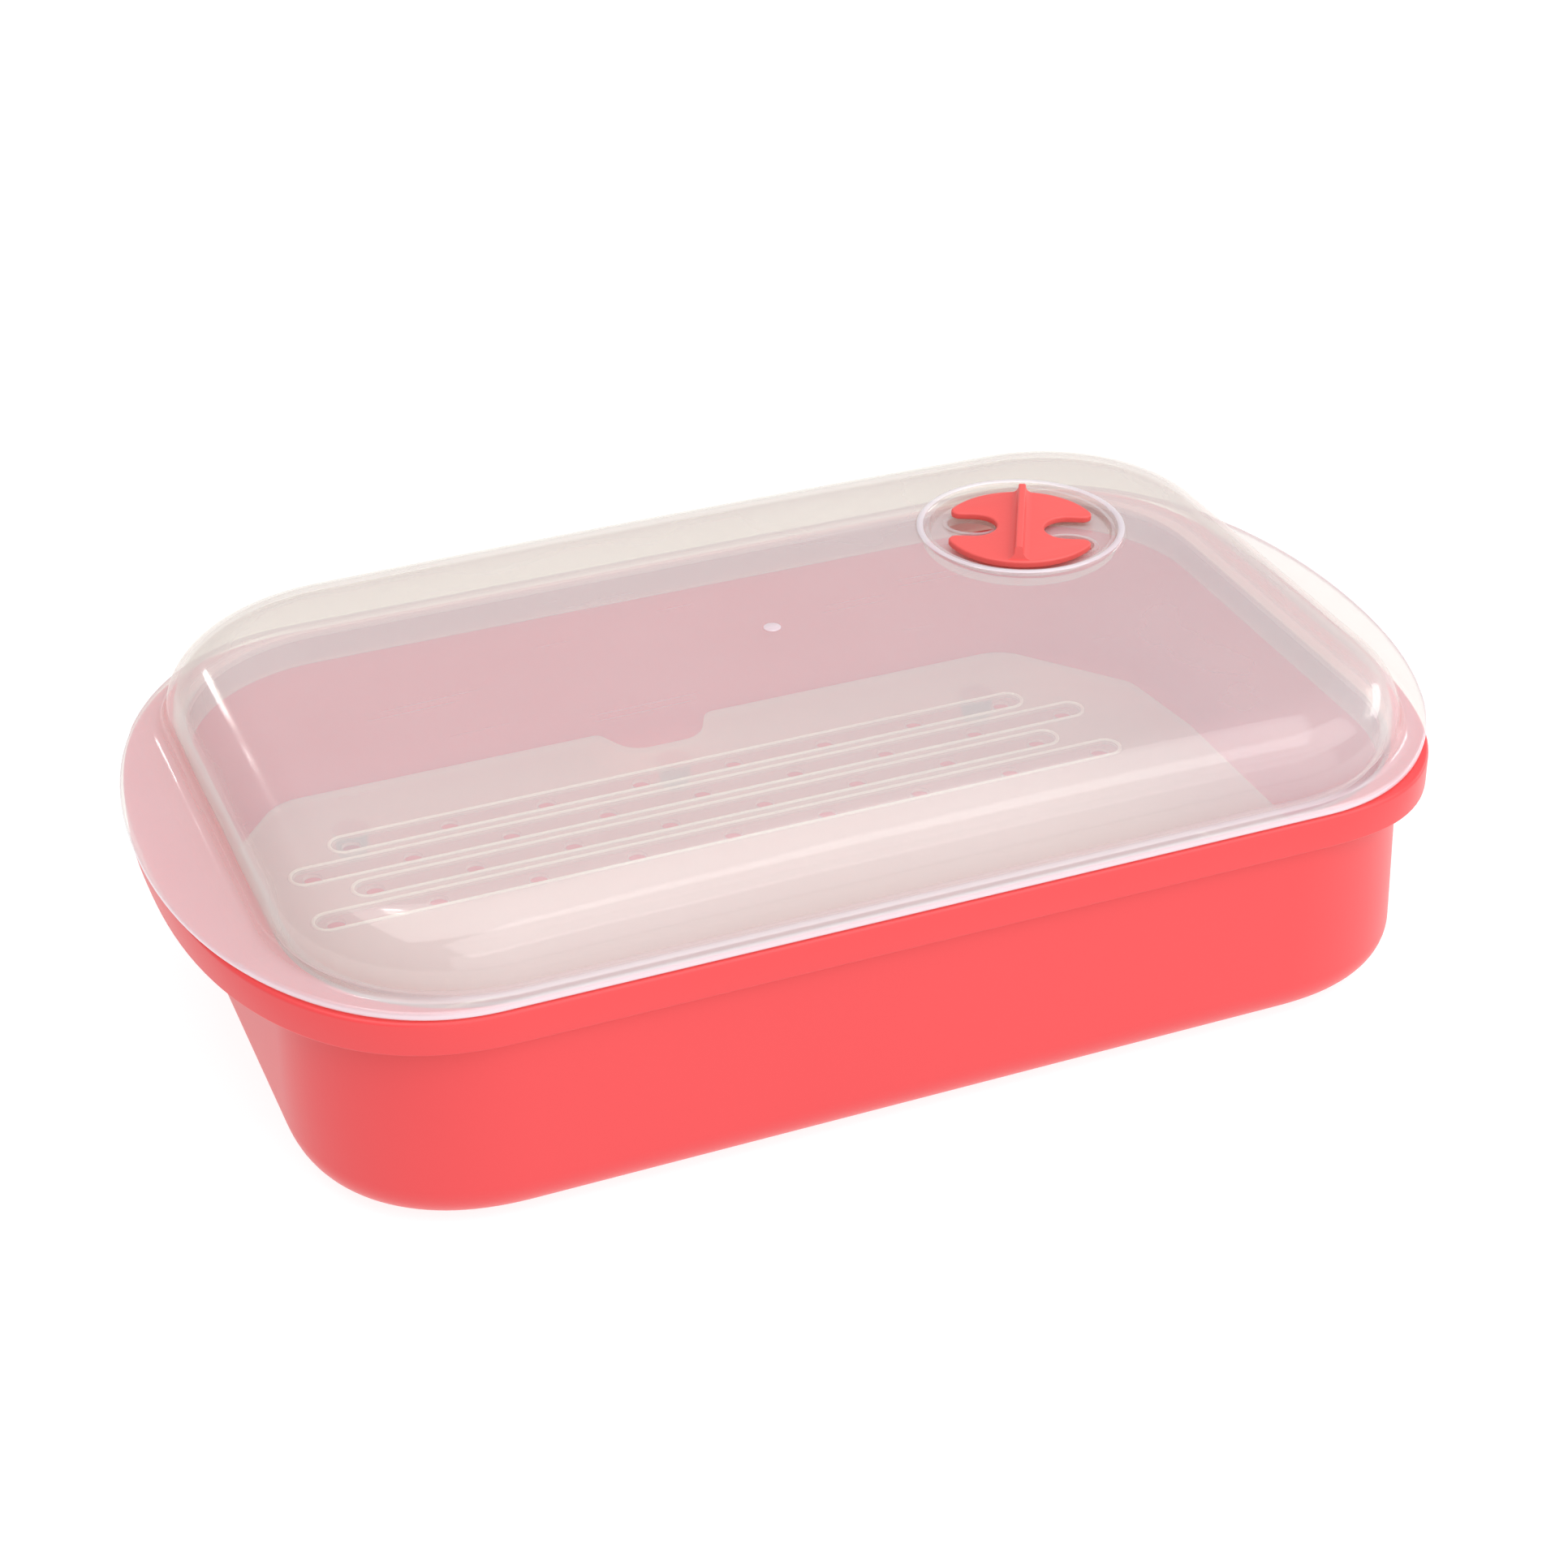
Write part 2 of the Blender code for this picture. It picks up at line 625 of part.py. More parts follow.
# ---------------------------------------------------------------- steam tray
def rounded(points, radii, steps=6):
    """Closed polygon with each corner replaced by an arc of its own radius."""
    out = []
    n = len(points)
    for i in range(n):
        p = Vector(points[i])
        to_prev = (Vector(points[i - 1]) - p).normalized()
        to_next = (Vector(points[(i + 1) % n]) - p).normalized()
        half = 0.5 * to_prev.angle(to_next)
        r = radii[i]
        cut = r / math.tan(half)
        centre = p + (to_prev + to_next).normalized() * (r / math.sin(half))
        a = p + to_prev * cut - centre
        b = p + to_next * cut - centre
        turn = a.angle_signed(b)
        for k in range(steps + 1):
            t = -turn * k / steps
            c, s = math.cos(t), math.sin(t)
            out.append((centre.x + c * a.x - s * a.y, centre.y + s * a.x + c * a.y))
    return out


def tray_outline():
    """Long plate with its corners cut, and one finger notch in the middle of a long side."""
    hx, hy = TRAY_HALF_X, TRAY_HALF_Y
    mouth, throat = FINGER_HALF + 0.0015, FINGER_HALF + 0.0015 - FINGER_FLARE
    corners = [
        ((hx, -TRAY_END_Y), TRAY_END_R), ((hx, TRAY_END_Y), TRAY_END_R),
        ((TRAY_KNEE_X, TRAY_KNEE_Y), TRAY_KNEE_R), ((TRAY_CUT_X, hy), TRAY_CORNER_R),
        ((mouth, hy), FINGER_MOUTH_R), ((throat, hy - FINGER_DEEP), FINGER_R),
        ((-throat, hy - FINGER_DEEP), FINGER_R), ((-mouth, hy), FINGER_MOUTH_R),
        ((-TRAY_CUT_X, hy), TRAY_CORNER_R), ((-TRAY_KNEE_X, TRAY_KNEE_Y), TRAY_KNEE_R),
        ((-hx, TRAY_END_Y), TRAY_END_R), ((-hx, -TRAY_END_Y), TRAY_END_R),
        ((-TRAY_KNEE_X, -TRAY_KNEE_Y), TRAY_KNEE_R), ((-TRAY_CUT_X, -hy), TRAY_CORNER_R),
        ((TRAY_CUT_X, -hy), TRAY_CORNER_R), ((TRAY_KNEE_X, -TRAY_KNEE_Y), TRAY_KNEE_R),
    ]
    points = rounded([p for p, _ in corners], [r for _, r in corners])
    return [(TRAY_X + x, y) for x, y in points]


def groove(reach, y):
    """Cutter for a shallow groove with round ends, its end arcs centred reach from the middle."""
    pts = []
    for way in (1, -1):
        for i in range(17):
            a = math.pi * (i / 16 - 0.5)
            pts.append((TRAY_X + way * (reach + GROOVE_HALF * math.cos(a)),
                        y + way * GROOVE_HALF * math.sin(a)))
    return prism("groove", pts, TRAY_TOP - GROOVE_DEEP, TRAY_TOP + CUT)


tray = prism("steam_tray", tray_outline(), TRAY_TOP - TRAY_THICK, TRAY_TOP, edge=EASE)
grooves = []
holes = []
for side in (1, -1):
    for row in range(ROWS):
        y = side * (ROW_FIRST + ROW_PITCH * row)
        count = LONG_ROW - row % 2
        reach = 0.5 * (count - 1) * HOLE_PITCH
        grooves.append(groove(reach + GROOVE_END - GROOVE_HALF, y))
        for i in range(count):
            holes.append(cylinder("hole", TRAY_X - reach + HOLE_PITCH * i, y,
                                  TRAY_TOP - TRAY_THICK - CUT, TRAY_TOP + CUT, HOLE_R, segments=16))
boolean(tray, join_tools("grooves", grooves), "DIFFERENCE")
boolean(tray, join_tools("holes", holes), "DIFFERENCE")
legs = []
for lx in (-LEG_X, 0.0, LEG_X):
    for ly in (-LEG_Y, LEG_Y):
        legs.append(cylinder("leg", TRAY_X + lx, ly, WALL + GAP, TRAY_TOP - 0.5 * TRAY_THICK,
                             LEG_R * LEG_TAPER, LEG_R, segments=24))
boolean(tray, join_tools("legs", legs), "UNION")
finish(tray, MAT_TRAY)

bpy.data.collections.remove(tools)
bpy.context.view_layer.update()
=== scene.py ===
"""Looks of the microwave steam cooker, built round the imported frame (metres, +Z up)."""

import json
import math

import bmesh
import bpy
from mathutils import Matrix, Vector


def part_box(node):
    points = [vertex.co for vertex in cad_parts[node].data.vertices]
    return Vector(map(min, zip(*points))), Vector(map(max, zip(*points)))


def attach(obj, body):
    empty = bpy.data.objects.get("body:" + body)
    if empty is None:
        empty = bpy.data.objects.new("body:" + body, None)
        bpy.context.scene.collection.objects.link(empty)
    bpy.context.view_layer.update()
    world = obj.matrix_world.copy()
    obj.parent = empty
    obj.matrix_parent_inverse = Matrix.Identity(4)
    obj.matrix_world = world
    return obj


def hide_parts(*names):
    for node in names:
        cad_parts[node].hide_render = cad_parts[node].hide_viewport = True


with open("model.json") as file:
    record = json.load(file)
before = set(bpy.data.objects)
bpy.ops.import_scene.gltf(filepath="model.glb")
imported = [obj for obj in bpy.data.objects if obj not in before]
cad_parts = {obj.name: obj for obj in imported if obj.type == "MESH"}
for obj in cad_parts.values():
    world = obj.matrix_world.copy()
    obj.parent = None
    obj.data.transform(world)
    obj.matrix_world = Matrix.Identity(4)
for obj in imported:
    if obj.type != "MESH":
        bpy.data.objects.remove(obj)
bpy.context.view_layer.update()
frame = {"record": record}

# ---------------------------------------------------------------- sizes taken from the frame
BOX_LOW, BOX_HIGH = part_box("container")
_, LID_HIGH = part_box("lid")
TRAY_LOW, TRAY_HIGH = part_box("steam_tray")
KNOB_LOW, KNOB_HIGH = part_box("vent_valve")
JOINTS = {joint["name"]: joint for joint in frame["record"]["behaviour"]["joints"]}
VALVE = Vector(JOINTS["valve_turn"]["pos_m"])

RIM_Y = BOX_HIGH[1]
RIM_TOP = BOX_HIGH[2]
FLANGE_X = LID_HIGH[0]
FLANGE_Y = LID_HIGH[1]
TRAY_X = 0.5 * (TRAY_LOW[0] + TRAY_HIGH[0])
TRAY_TOP = TRAY_HIGH[2]

# ---------------------------------------------------------------- sizes of the mouldings
CORNER_X = 0.0856               # centres that the rounded corners are struck from
CORNER_Y = 0.0402
END_STEPS = 10
CORNER_STEPS = 32
SIDE_STEPS = 6
RAY_REACH = 0.12                # an outline is sought this far out from a corner's centre
HALVINGS = 44
MERGE = 1e-6                    # vertices nearer than this are one
CREASE = math.radians(32.0)     # edges that bend more than this stay sharp

WALL = 0.0018
BASE_X = 0.1280
BASE_Y = 0.0812
BASE_CORNER = 2.30
BASE_FILLET = 0.0096
MOUTH_X = 0.1276
MOUTH_Y = 0.0822
RIM_BOTTOM = 0.0454
RIM_PLATE = 0.0018
RIM_STRAIGHT = 0.0880
RIM_EDGE_LOW = 0.0005           # radii of the rim band's rounded edges
RIM_EDGE_TOP = 0.0009
FILLET_STEPS = 14
GRIP_END = (-BOX_LOW[0], 2.35)  # reach and corner exponent of the wide ear
LIFT_END = (BOX_HIGH[0], 2.90)  # the short ear, which the lid overhangs as a lifting tab

SEAT = RIM_TOP + 0.0003
FLANGE_THICK = 0.0019
FLANGE_TOP = SEAT + FLANGE_THICK
FLANGE_STRAIGHT = 0.0911
FLANGE_CURVE = 2.10
FLANGE_EDGE_LOW = 0.0005        # radii of the flange's rounded edges
FLANGE_EDGE_TOP = 0.0008
FOOT_RISE = 0.0018              # from the flange up to where the dome's shoulder is struck
FOOT_X = 0.1282
FOOT_Y = 0.0805
EAR_STEP_X = 0.1350             # straight step across each ear of the lid
EAR_STEP = 0.0004
SWEEP_X = 0.0050                # reach of the hollow sweep from the ear up to the dome
SWEEP_Y = 0.0009
SWEEP_Z = 0.0036
SHOULDER = 0.0165
SHOULDER_STEPS = 22
SHOULDER_STOP = math.radians(84.0)
DOME_TOP = 0.0733
CROWN = 0.0013
SHELL = 0.0016
SPIGOT_BOTTOM = 0.0466
SPIGOT_CLEAR = 0.0008
SPIGOT_THICK = 0.0014

WELL_FLOOR = 0.0706
WELL_FLOOR_THICK = 0.0015
WELL_R = 0.0212
WELL_WALL = 0.0016
BEAD_R = 0.0236
BEAD_HALF = 0.0014
BEAD_TOP = 0.0737
VENT_R = 0.0124
VENT_LONG = 0.0058
VENT_SHORT = 0.0043
VENT_TURN = math.radians(-47.8)
VENT_SLANT = math.radians(-33.0)
STEM_HOLE = 0.0041

KNOB_TURN = math.radians(62.7)
KNOB_R = 0.0184
KNOB_THICK = 0.0017
NOTCH_HALF = 0.0056
NOTCH_CENTRE = 0.0111
LOBE_FILLET = 0.0020
FIN_HALF = 0.0009
FIN_BASE = 0.0038
FIN_LENGTH = 0.0350
HUB_R = 0.0054
STEM_R = 0.0040
BARB_R = 0.0048
SPLIT = 0.0014
SPLIT_LONG = 0.016
SPLIT_TALL = 0.006
SPLIT_MIDDLE = 0.0008           # above the stem's lower end
KNOB_EDGE = 0.0005
FIN_EDGE = 0.0005
FIN_LEAN = 0.35                 # how far an end of the fin leans in for its height

TRAY_THICK = 0.0020
TRAY_CUT_X = 0.0960
TRAY_KNEE_X = 0.1193
TRAY_KNEE_Y = 0.0500
TRAY_END_Y = 0.0250
FINGER_HALF = 0.0125
FINGER_DEEP = 0.0105
FINGER_MOUTH = 0.0015           # wider than FINGER_HALF at the tray's edge
FINGER_FLOOR = 0.0035           # narrower than FINGER_HALF at the notch's floor
FINGER_R = 0.0075
FINGER_LIP_R = 0.003
TRAY_END_R = 0.004
TRAY_KNEE_R = 0.010
TRAY_CUT_R = 0.012
TRAY_EDGE = 0.0005
ROW_COUNTS = (9, 8, 9, 8)       # holes in each row, from the middle out
ROW_FIRST = 0.0232
ROW_PITCH = 0.01007
HOLE_PITCH = 0.0241
HOLE_R = 0.0023
GROOVE_HALF = 0.0029
GROOVE_END = 0.0045
GROOVE_DEEP = 0.0008
BEAD_LINE = 0.0005              # radius of the fine bead that borders each groove
BEAD_OUT = 0.0007               # from the groove's edge out to the bead's middle
LEG_R = 0.0045
LEG_X = 0.0820
LEG_Y = 0.0630
LEG_TAPER = 0.75

SHARP = 8000.0                  # how fast a band of milk begins, per metre of height
FIRM = 5000.0
SOFT = 900.0
PLATE_SPILL = 0.0012            # how far the plate's whiteness runs on above it
PLATE_MILK = 0.07
UPRIGHT_MILK = 0.38
SKIN_HAIR = 0.00005
FLOOR_NEAR = 0.0002             # thin floors lie between these two depths below the skin
FLOOR_FAR = 0.0013
FOOT_SHARP = 4000.0
FOOT_CLEAR = 0.85

FLOOR_SIZE = 6.0
FLOOR_DROP = 0.0002             # keeps the stage just clear of the container's foot
FLOOR_GLOW = 0.85
WORLD_LIGHT = 0.55
LAMP_AIM = (0.0, 0.0, 0.05)
CAMERA_AIM = (0.0, 0.0, 0.0021)
CAMERA_SHIFT = (0.00040, 0.02946)
CAMERA_TURN = -22.05
CAMERA_RISE = 31.29
CAMERA_ROLL = 0.57
CAMERA_AWAY = 0.7380
CAMERA_LENS = 73.29


# ---------------------------------------------------------------- shader maths
class Value:
    """A shader socket that takes part in Python sums."""

    def __init__(self, tree, socket):
        self.tree = tree
        self.socket = socket

    def _sum(self, operation, *terms):
        node = self.tree.nodes.new("ShaderNodeMath")
        node.operation = operation
        for slot, term in zip(node.inputs, terms):
            if isinstance(term, Value):
                self.tree.links.new(term.socket, slot)
            else:
                slot.default_value = term
        return Value(self.tree, node.outputs[0])

    def __add__(self, other):
        return self._sum("ADD", self, other)

    def __radd__(self, other):
        return self._sum("ADD", other, self)

    def __sub__(self, other):
        return self._sum("SUBTRACT", self, other)

    def __rsub__(self, other):
        return self._sum("SUBTRACT", other, self)

    def __mul__(self, other):
        return self._sum("MULTIPLY", self, other)

    def __rmul__(self, other):
        return self._sum("MULTIPLY", other, self)

    def __pow__(self, other):
        return self._sum("POWER", self, other)

    def size(self):
        return self._sum("ABSOLUTE", self)

    def clamped(self, low=0.0, high=1.0):
        return self._sum("MINIMUM", self._sum("MAXIMUM", self, low), high)


def add_node(tree, kind, settings, values):
    """A node with its settings made and its inputs filled in or linked."""
    node = tree.nodes.new(kind)
    for key, setting in (settings or {}).items():
        setattr(node, key, setting)
    for key, value in values.items():
        slot = node.inputs[key.replace("_", " ")]
        if isinstance(value, Value):
            value = value.socket
        if isinstance(value, bpy.types.NodeSocket):
            tree.links.new(value, slot)
        else:
            slot.default_value = value
    return node


class Finish:
    """A material and the nodes in it."""

    def __init__(self, name):
        self.material = bpy.data.materials.new(name)
        self.material.use_nodes = True
        self.tree = self.material.node_tree
        self.tree.nodes.clear()

    def node(self, kind, settings=None, **values):
        return add_node(self.tree, kind, settings, values)

    def value(self, node, output=0):
        return Value(self.tree, node.outputs[output])

    def done(self, shader):
        out = self.node("ShaderNodeOutputMaterial")
        self.tree.links.new(shader, out.inputs["Surface"])
        return self.material


def place_of(finish):
    return finish.node("ShaderNodeTexCoord").outputs["Object"]


def speckle(finish, scale, detail):
    return finish.value(finish.node("ShaderNodeTexNoise", Vector=place_of(finish), Scale=scale,
                                    Detail=detail))


def tone(finish, dark, light, fac):
    node = finish.node("ShaderNodeMix", {"data_type": "RGBA"})
    finish.tree.links.new(fac.socket, node.inputs[0])
    node.inputs[6].default_value = (*dark, 1.0)
    node.inputs[7].default_value = (*light, 1.0)
    return node.outputs[2]


def coral_plastic(name, base, rough, grain):
    """Satin polypropylene, slightly cloudy in colour, with the mould's fine spark texture."""
    f = Finish(name)
    cloud = speckle(f, 14.0, 2.0)
    fine = speckle(f, 1400.0, 2.0)
    deep = tuple(c * 0.95 for c in base)
    colour = tone(f, deep, base, cloud)
    bump = f.node("ShaderNodeBump", Strength=grain, Distance=0.00005, Height=fine)
    bsdf = f.node("ShaderNodeBsdfPrincipled", Base_Color=colour,
                  Roughness=(rough + 0.10 * (cloud - 0.5)).clamped(0.05, 1.0),
                  IOR=1.49, Normal=bump.outputs[0])
    return f.done(bsdf.outputs[0])


def milky_plastic(name, milk_low, milk_high, clear, veil, edge_veil, lets_in, rough, gloss,
                  plate, skin, raised, sunk, foot):
    """Translucent polypropylene: milk over clear plastic, thicker where it is seen edge on.

    plate gives the heights of the flat plate whose upright faces look whitest. Raised detail
    above the height skin is whiter, and thin floors just below it and feet are clearer.
    """
    f = Finish(name)
    cloud = speckle(f, 22.0, 3.0)
    colour = tone(f, milk_low, milk_high, cloud)
    stretched = f.node("ShaderNodeMapping", Vector=place_of(f), Scale=(18.0, 700.0, 60.0),
                       Rotation=(0.0, 0.0, math.radians(-14)))
    scratch = f.node("ShaderNodeTexNoise", Vector=stretched.outputs[0], Scale=1.0, Detail=2.0)
    worn = (f.value(scratch) - 0.70).clamped() * 3.0
    flow = speckle(f, 34.0, 1.0)
    wave = f.node("ShaderNodeBump", Strength=0.6, Distance=0.0006, Height=flow)
    milk = f.node("ShaderNodeBsdfPrincipled", Base_Color=colour,
                  Roughness=(rough + worn * 0.3 + 0.06 * (cloud - 0.5)).clamped(0.03, 1.0),
                  IOR=1.49, Coat_Weight=gloss, Coat_Roughness=0.10, Coat_IOR=2.0,
                  Normal=wave.outputs[0], Coat_Normal=wave.outputs[0])
    through = f.node("ShaderNodeBsdfTransparent", Color=(*clear, 1.0))
    face = f.node("ShaderNodeLayerWeight", Blend=0.5)
    shade = f.value(f.node("ShaderNodeLightPath"), "Is Shadow Ray")
    cover = veil + edge_veil * f.value(face, "Facing") ** 3.0 + 0.02 * (cloud - 0.5) + 0.05 * worn
    low, high = plate
    height = f.value(f.node("ShaderNodeSeparateXYZ", Vector=place_of(f)), "Z")
    within = ((height - low) * SHARP).clamped() * ((high + PLATE_SPILL - height) * SOFT).clamped()
    outward = f.node("ShaderNodeNewGeometry").outputs["Normal"]
    upright = 1.0 - f.value(f.node("ShaderNodeSeparateXYZ", Vector=outward), "Z").size()
    above = ((height - skin - SKIN_HAIR) * SHARP).clamped()
    below = (((skin - FLOOR_NEAR - height) * FIRM).clamped()
             * ((height - skin + FLOOR_FAR) * FIRM).clamped())
    milk_here = PLATE_MILK + UPRIGHT_MILK * upright
    cover = cover + within * milk_here + raised * above - sunk * below
    cover = cover * (1.0 - FOOT_CLEAR * ((foot - height) * FOOT_SHARP).clamped())
    cover = (cover.clamped() * (1.0 - lets_in * shade)).clamped()
    mix = f.node("ShaderNodeMixShader")
    f.tree.links.new(cover.socket, mix.inputs[0])
    f.tree.links.new(through.outputs[0], mix.inputs[1])
    f.tree.links.new(milk.outputs[0], mix.inputs[2])
    return f.done(mix.outputs[0])


CONTAINER_FINISH = coral_plastic("coral_container_plastic", (0.77, 0.056, 0.061), 0.34, 0.25)
KNOB_FINISH = coral_plastic("coral_valve_plastic", (0.80, 0.095, 0.088), 0.45, 0.5)
LID_FINISH = milky_plastic("milky_lid_plastic", (0.78, 0.72, 0.80), (0.82, 0.76, 0.84),
                           (0.970, 0.970, 0.900), 0.30, 0.25, 0.75, 0.35, 1.0,
                           plate=(SEAT, FLANGE_TOP), skin=DOME_TOP, raised=0.35, sunk=0.0, foot=0.0)
TRAY_FINISH = milky_plastic("natural_tray_plastic", (0.82, 0.82, 0.82), (0.86, 0.86, 0.86),
                            (0.97, 0.97, 0.96), 0.24, 0.20, 0.85, 0.40, 0.5,
                            plate=(TRAY_TOP - TRAY_THICK, TRAY_TOP), skin=TRAY_TOP,
                            raised=0.60, sunk=0.18, foot=TRAY_TOP - TRAY_THICK)


# ---------------------------------------------------------------- mesh helpers
def stations():
    """One turn of (corner centre, outward direction) pairs shared by every outline."""
    quarter = []
    for i in range(END_STEPS):
        quarter.append(((CORNER_X, CORNER_Y * i / END_STEPS), (1.0, 0.0)))
    for i in range(CORNER_STEPS + 1):
        a = 0.5 * math.pi * i / CORNER_STEPS
        quarter.append(((CORNER_X, CORNER_Y), (math.cos(a), math.sin(a))))
    for i in range(1, SIDE_STEPS):
        quarter.append(((CORNER_X * (1 - i / SIDE_STEPS), CORNER_Y), (0.0, 1.0)))
    quarter.append(((0.0, CORNER_Y), (0.0, 1.0)))
    half = quarter + [((-o[0], o[1]), (-d[0], d[1])) for o, d in reversed(quarter[:-1])]
    return half + [((o[0], -o[1]), (d[0], -d[1])) for o, d in reversed(half[1:-1])]


STATIONS = stations()


def box_outline(half_x, half_y, curve=2.0):
    a = half_x - CORNER_X
    b = half_y - CORNER_Y
    out = []
    for o, d in STATIONS:
        r = (abs(d[0] / a) ** curve + abs(d[1] / b) ** curve) ** (-1.0 / curve)
        out.append((o[0] + d[0] * r, o[1] + d[1] * r))
    return out


def ear_outline(half_y, straight, right, left, inset=0.0):
    """Long sides that bow out into ears; right and left give an ear's reach and exponent."""
    out = []
    for o, d in STATIONS:
        reach, curve = right if o[0] > 0.0 else left
        a = reach - straight
        near, far = 0.0, RAY_REACH
        for _ in range(HALVINGS):
            r = 0.5 * (near + far)
            u = max(0.0, abs(o[0] + d[0] * r) - straight) / a
            v = abs(o[1] + d[1] * r) / half_y
            if u ** curve + v ** curve < 1.0:
                near = r
            else:
                far = r
        out.append((o[0] + d[0] * (near - inset), o[1] + d[1] * (near - inset)))
    return out


def level(outline, z):
    return [(x, y, z) for x, y in outline]


def mesh_object(name, bm):
    mesh = bpy.data.meshes.new(name)
    bm.to_mesh(mesh)
    bm.free()
    obj = bpy.data.objects.new(name, mesh)
    bpy.context.scene.collection.objects.link(obj)
    return obj


def loft(name, rings, close_ring=False, flat_ends=False):
    bm = bmesh.new()
    rows = [[bm.verts.new(p) for p in ring] for ring in rings]
    n = len(rings[0])
    pairs = list(zip(rows, rows[1:]))
    if close_ring:
        pairs.append((rows[-1], rows[0]))
    for low, high in pairs:
        for i in range(n):
            j = (i + 1) % n
            bm.faces.new((low[i], low[j], high[j], high[i]))
    if flat_ends:
        bm.faces.new(list(reversed(rows[0])))
        bm.faces.new(rows[-1])
    elif not close_ring:
        for row, flip in ((rows[0], True), (rows[-1], False)):
            hub = bm.verts.new(sum((v.co for v in row), Vector()) / n)
            for i in range(n):
                j = (i + 1) % n
                bm.faces.new((row[j], row[i], hub) if flip else (row[i], row[j], hub))
    bmesh.ops.recalc_face_normals(bm, faces=bm.faces)
    if bm.calc_volume(signed=True) < 0.0:
        bmesh.ops.reverse_faces(bm, faces=bm.faces)
    return mesh_object(name, bm)


def turned_piece(name, x, y, profile, segments=96, close_ring=False):
    rings = []
    for r, z in profile:
        ring = []
        for k in range(segments):
            t = 2 * math.pi * k / segments
            ring.append((x + r * math.cos(t), y + r * math.sin(t), z))
        rings.append(ring)
    return loft(name, rings, close_ring=close_ring)


def prism(name, points, z0, z1, edge=0.0, resolution=3):
    """Flat outline given thickness, its edges rounded by the curve's own bevel."""
    curve = bpy.data.curves.new(name, "CURVE")
    curve.dimensions = "2D"
    curve.fill_mode = "BOTH"
    curve.extrude = 0.5 * (z1 - z0) - edge
    curve.bevel_depth = edge
    curve.bevel_resolution = resolution
    curve.offset = -edge
    spline = curve.splines.new("POLY")
    spline.points.add(len(points) - 1)
    for p, (x, y) in zip(spline.points, points):
        p.co = (x, y, 0.0, 1.0)
    spline.use_cyclic_u = True
    temp = bpy.data.objects.new(name + "_outline", curve)
    bpy.context.scene.collection.objects.link(temp)
    mesh = evaluated_mesh(temp)
    bpy.data.objects.remove(temp, do_unlink=True)
    bm = bmesh.new()
    bm.from_mesh(mesh)
    bpy.data.meshes.remove(mesh)
    bmesh.ops.remove_doubles(bm, verts=bm.verts, dist=MERGE)
    bmesh.ops.translate(bm, verts=bm.verts, vec=(0.0, 0.0, 0.5 * (z0 + z1)))
    bmesh.ops.recalc_face_normals(bm, faces=bm.faces)
    return mesh_object(name, bm)


def evaluated_mesh(obj):
    bpy.context.view_layer.update()
    graph = bpy.context.evaluated_depsgraph_get()
    return bpy.data.meshes.new_from_object(obj.evaluated_get(graph))


def boolean(target, tool, operation):
    mod = target.modifiers.new(operation.lower(), "BOOLEAN")
    mod.operation = operation
    mod.solver = "EXACT"
    mod.object = tool
    mesh = evaluated_mesh(target)
    target.modifiers.remove(mod)
    bm = bmesh.new()
    bm.from_mesh(mesh)
    bmesh.ops.remove_doubles(bm, verts=bm.verts, dist=MERGE)
    bmesh.ops.dissolve_degenerate(bm, edges=bm.edges, dist=1e-7)
    bm.to_mesh(mesh)
    bm.free()
    old = target.data
    target.data = mesh
    bpy.data.meshes.remove(old)
    bpy.data.objects.remove(tool, do_unlink=True)


def gathered(name, objs):
    """Separate tools that don't overlap, joined into one for a single Boolean."""
    bm = bmesh.new()
    for obj in objs:
        bm.from_mesh(obj.data)
        bpy.data.objects.remove(obj, do_unlink=True)
    return mesh_object(name, bm)


def finished(obj, finish, body, node):
    """Clean and smooth a piece, give it its finish, and let it stand for its CAD node."""
    bm = bmesh.new()
    bm.from_mesh(obj.data)
    bmesh.ops.remove_doubles(bm, verts=bm.verts, dist=MERGE)
    for face in bm.faces:
        face.smooth = True
        face.material_index = 0
    for edge in bm.edges:
        edge.smooth = not (len(edge.link_faces) == 2 and edge.calc_face_angle(0.0) > CREASE)
    bm.to_mesh(obj.data)
    bm.free()
    obj.data.materials.clear()
    obj.data.materials.append(finish)
    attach(obj, body)
    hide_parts(node)


# ---------------------------------------------------------------- container
def body_at(z, inset):
    t = max(0.0, z) / RIM_TOP
    hx = BASE_X + (MOUTH_X - BASE_X) * t - inset
    hy = BASE_Y + (MOUTH_Y - BASE_Y) * t - inset
    return box_outline(hx, hy, BASE_CORNER + (2.0 - BASE_CORNER) * t)


def body_rings(floor, fillet, inset, top):
    rings = []
    for i in range(FILLET_STEPS + 1):
        a = 0.5 * math.pi * i / FILLET_STEPS
        z = floor + fillet * (1 - math.cos(a))
        rings.append(level(body_at(z, inset + fillet * (1 - math.sin(a))), z))
    for i in range(1, 5):
        z = floor + fillet + (top - floor - fillet) * i / 4
        rings.append(level(body_at(z, inset), z))
    return rings


def rim_outline(inset):
    return ear_outline(RIM_Y, RIM_STRAIGHT, LIFT_END, GRIP_END, inset)


def rounded_edge(radius, steps, start, stop):
    """(inset, height) pairs round a quarter circle, angles in degrees from the outward side."""
    out = []
    for i in range(steps + 1):
        a = math.radians(start + (stop - start) * i / steps)
        out.append((radius * (1 - math.cos(a)), radius * math.sin(a)))
    return out


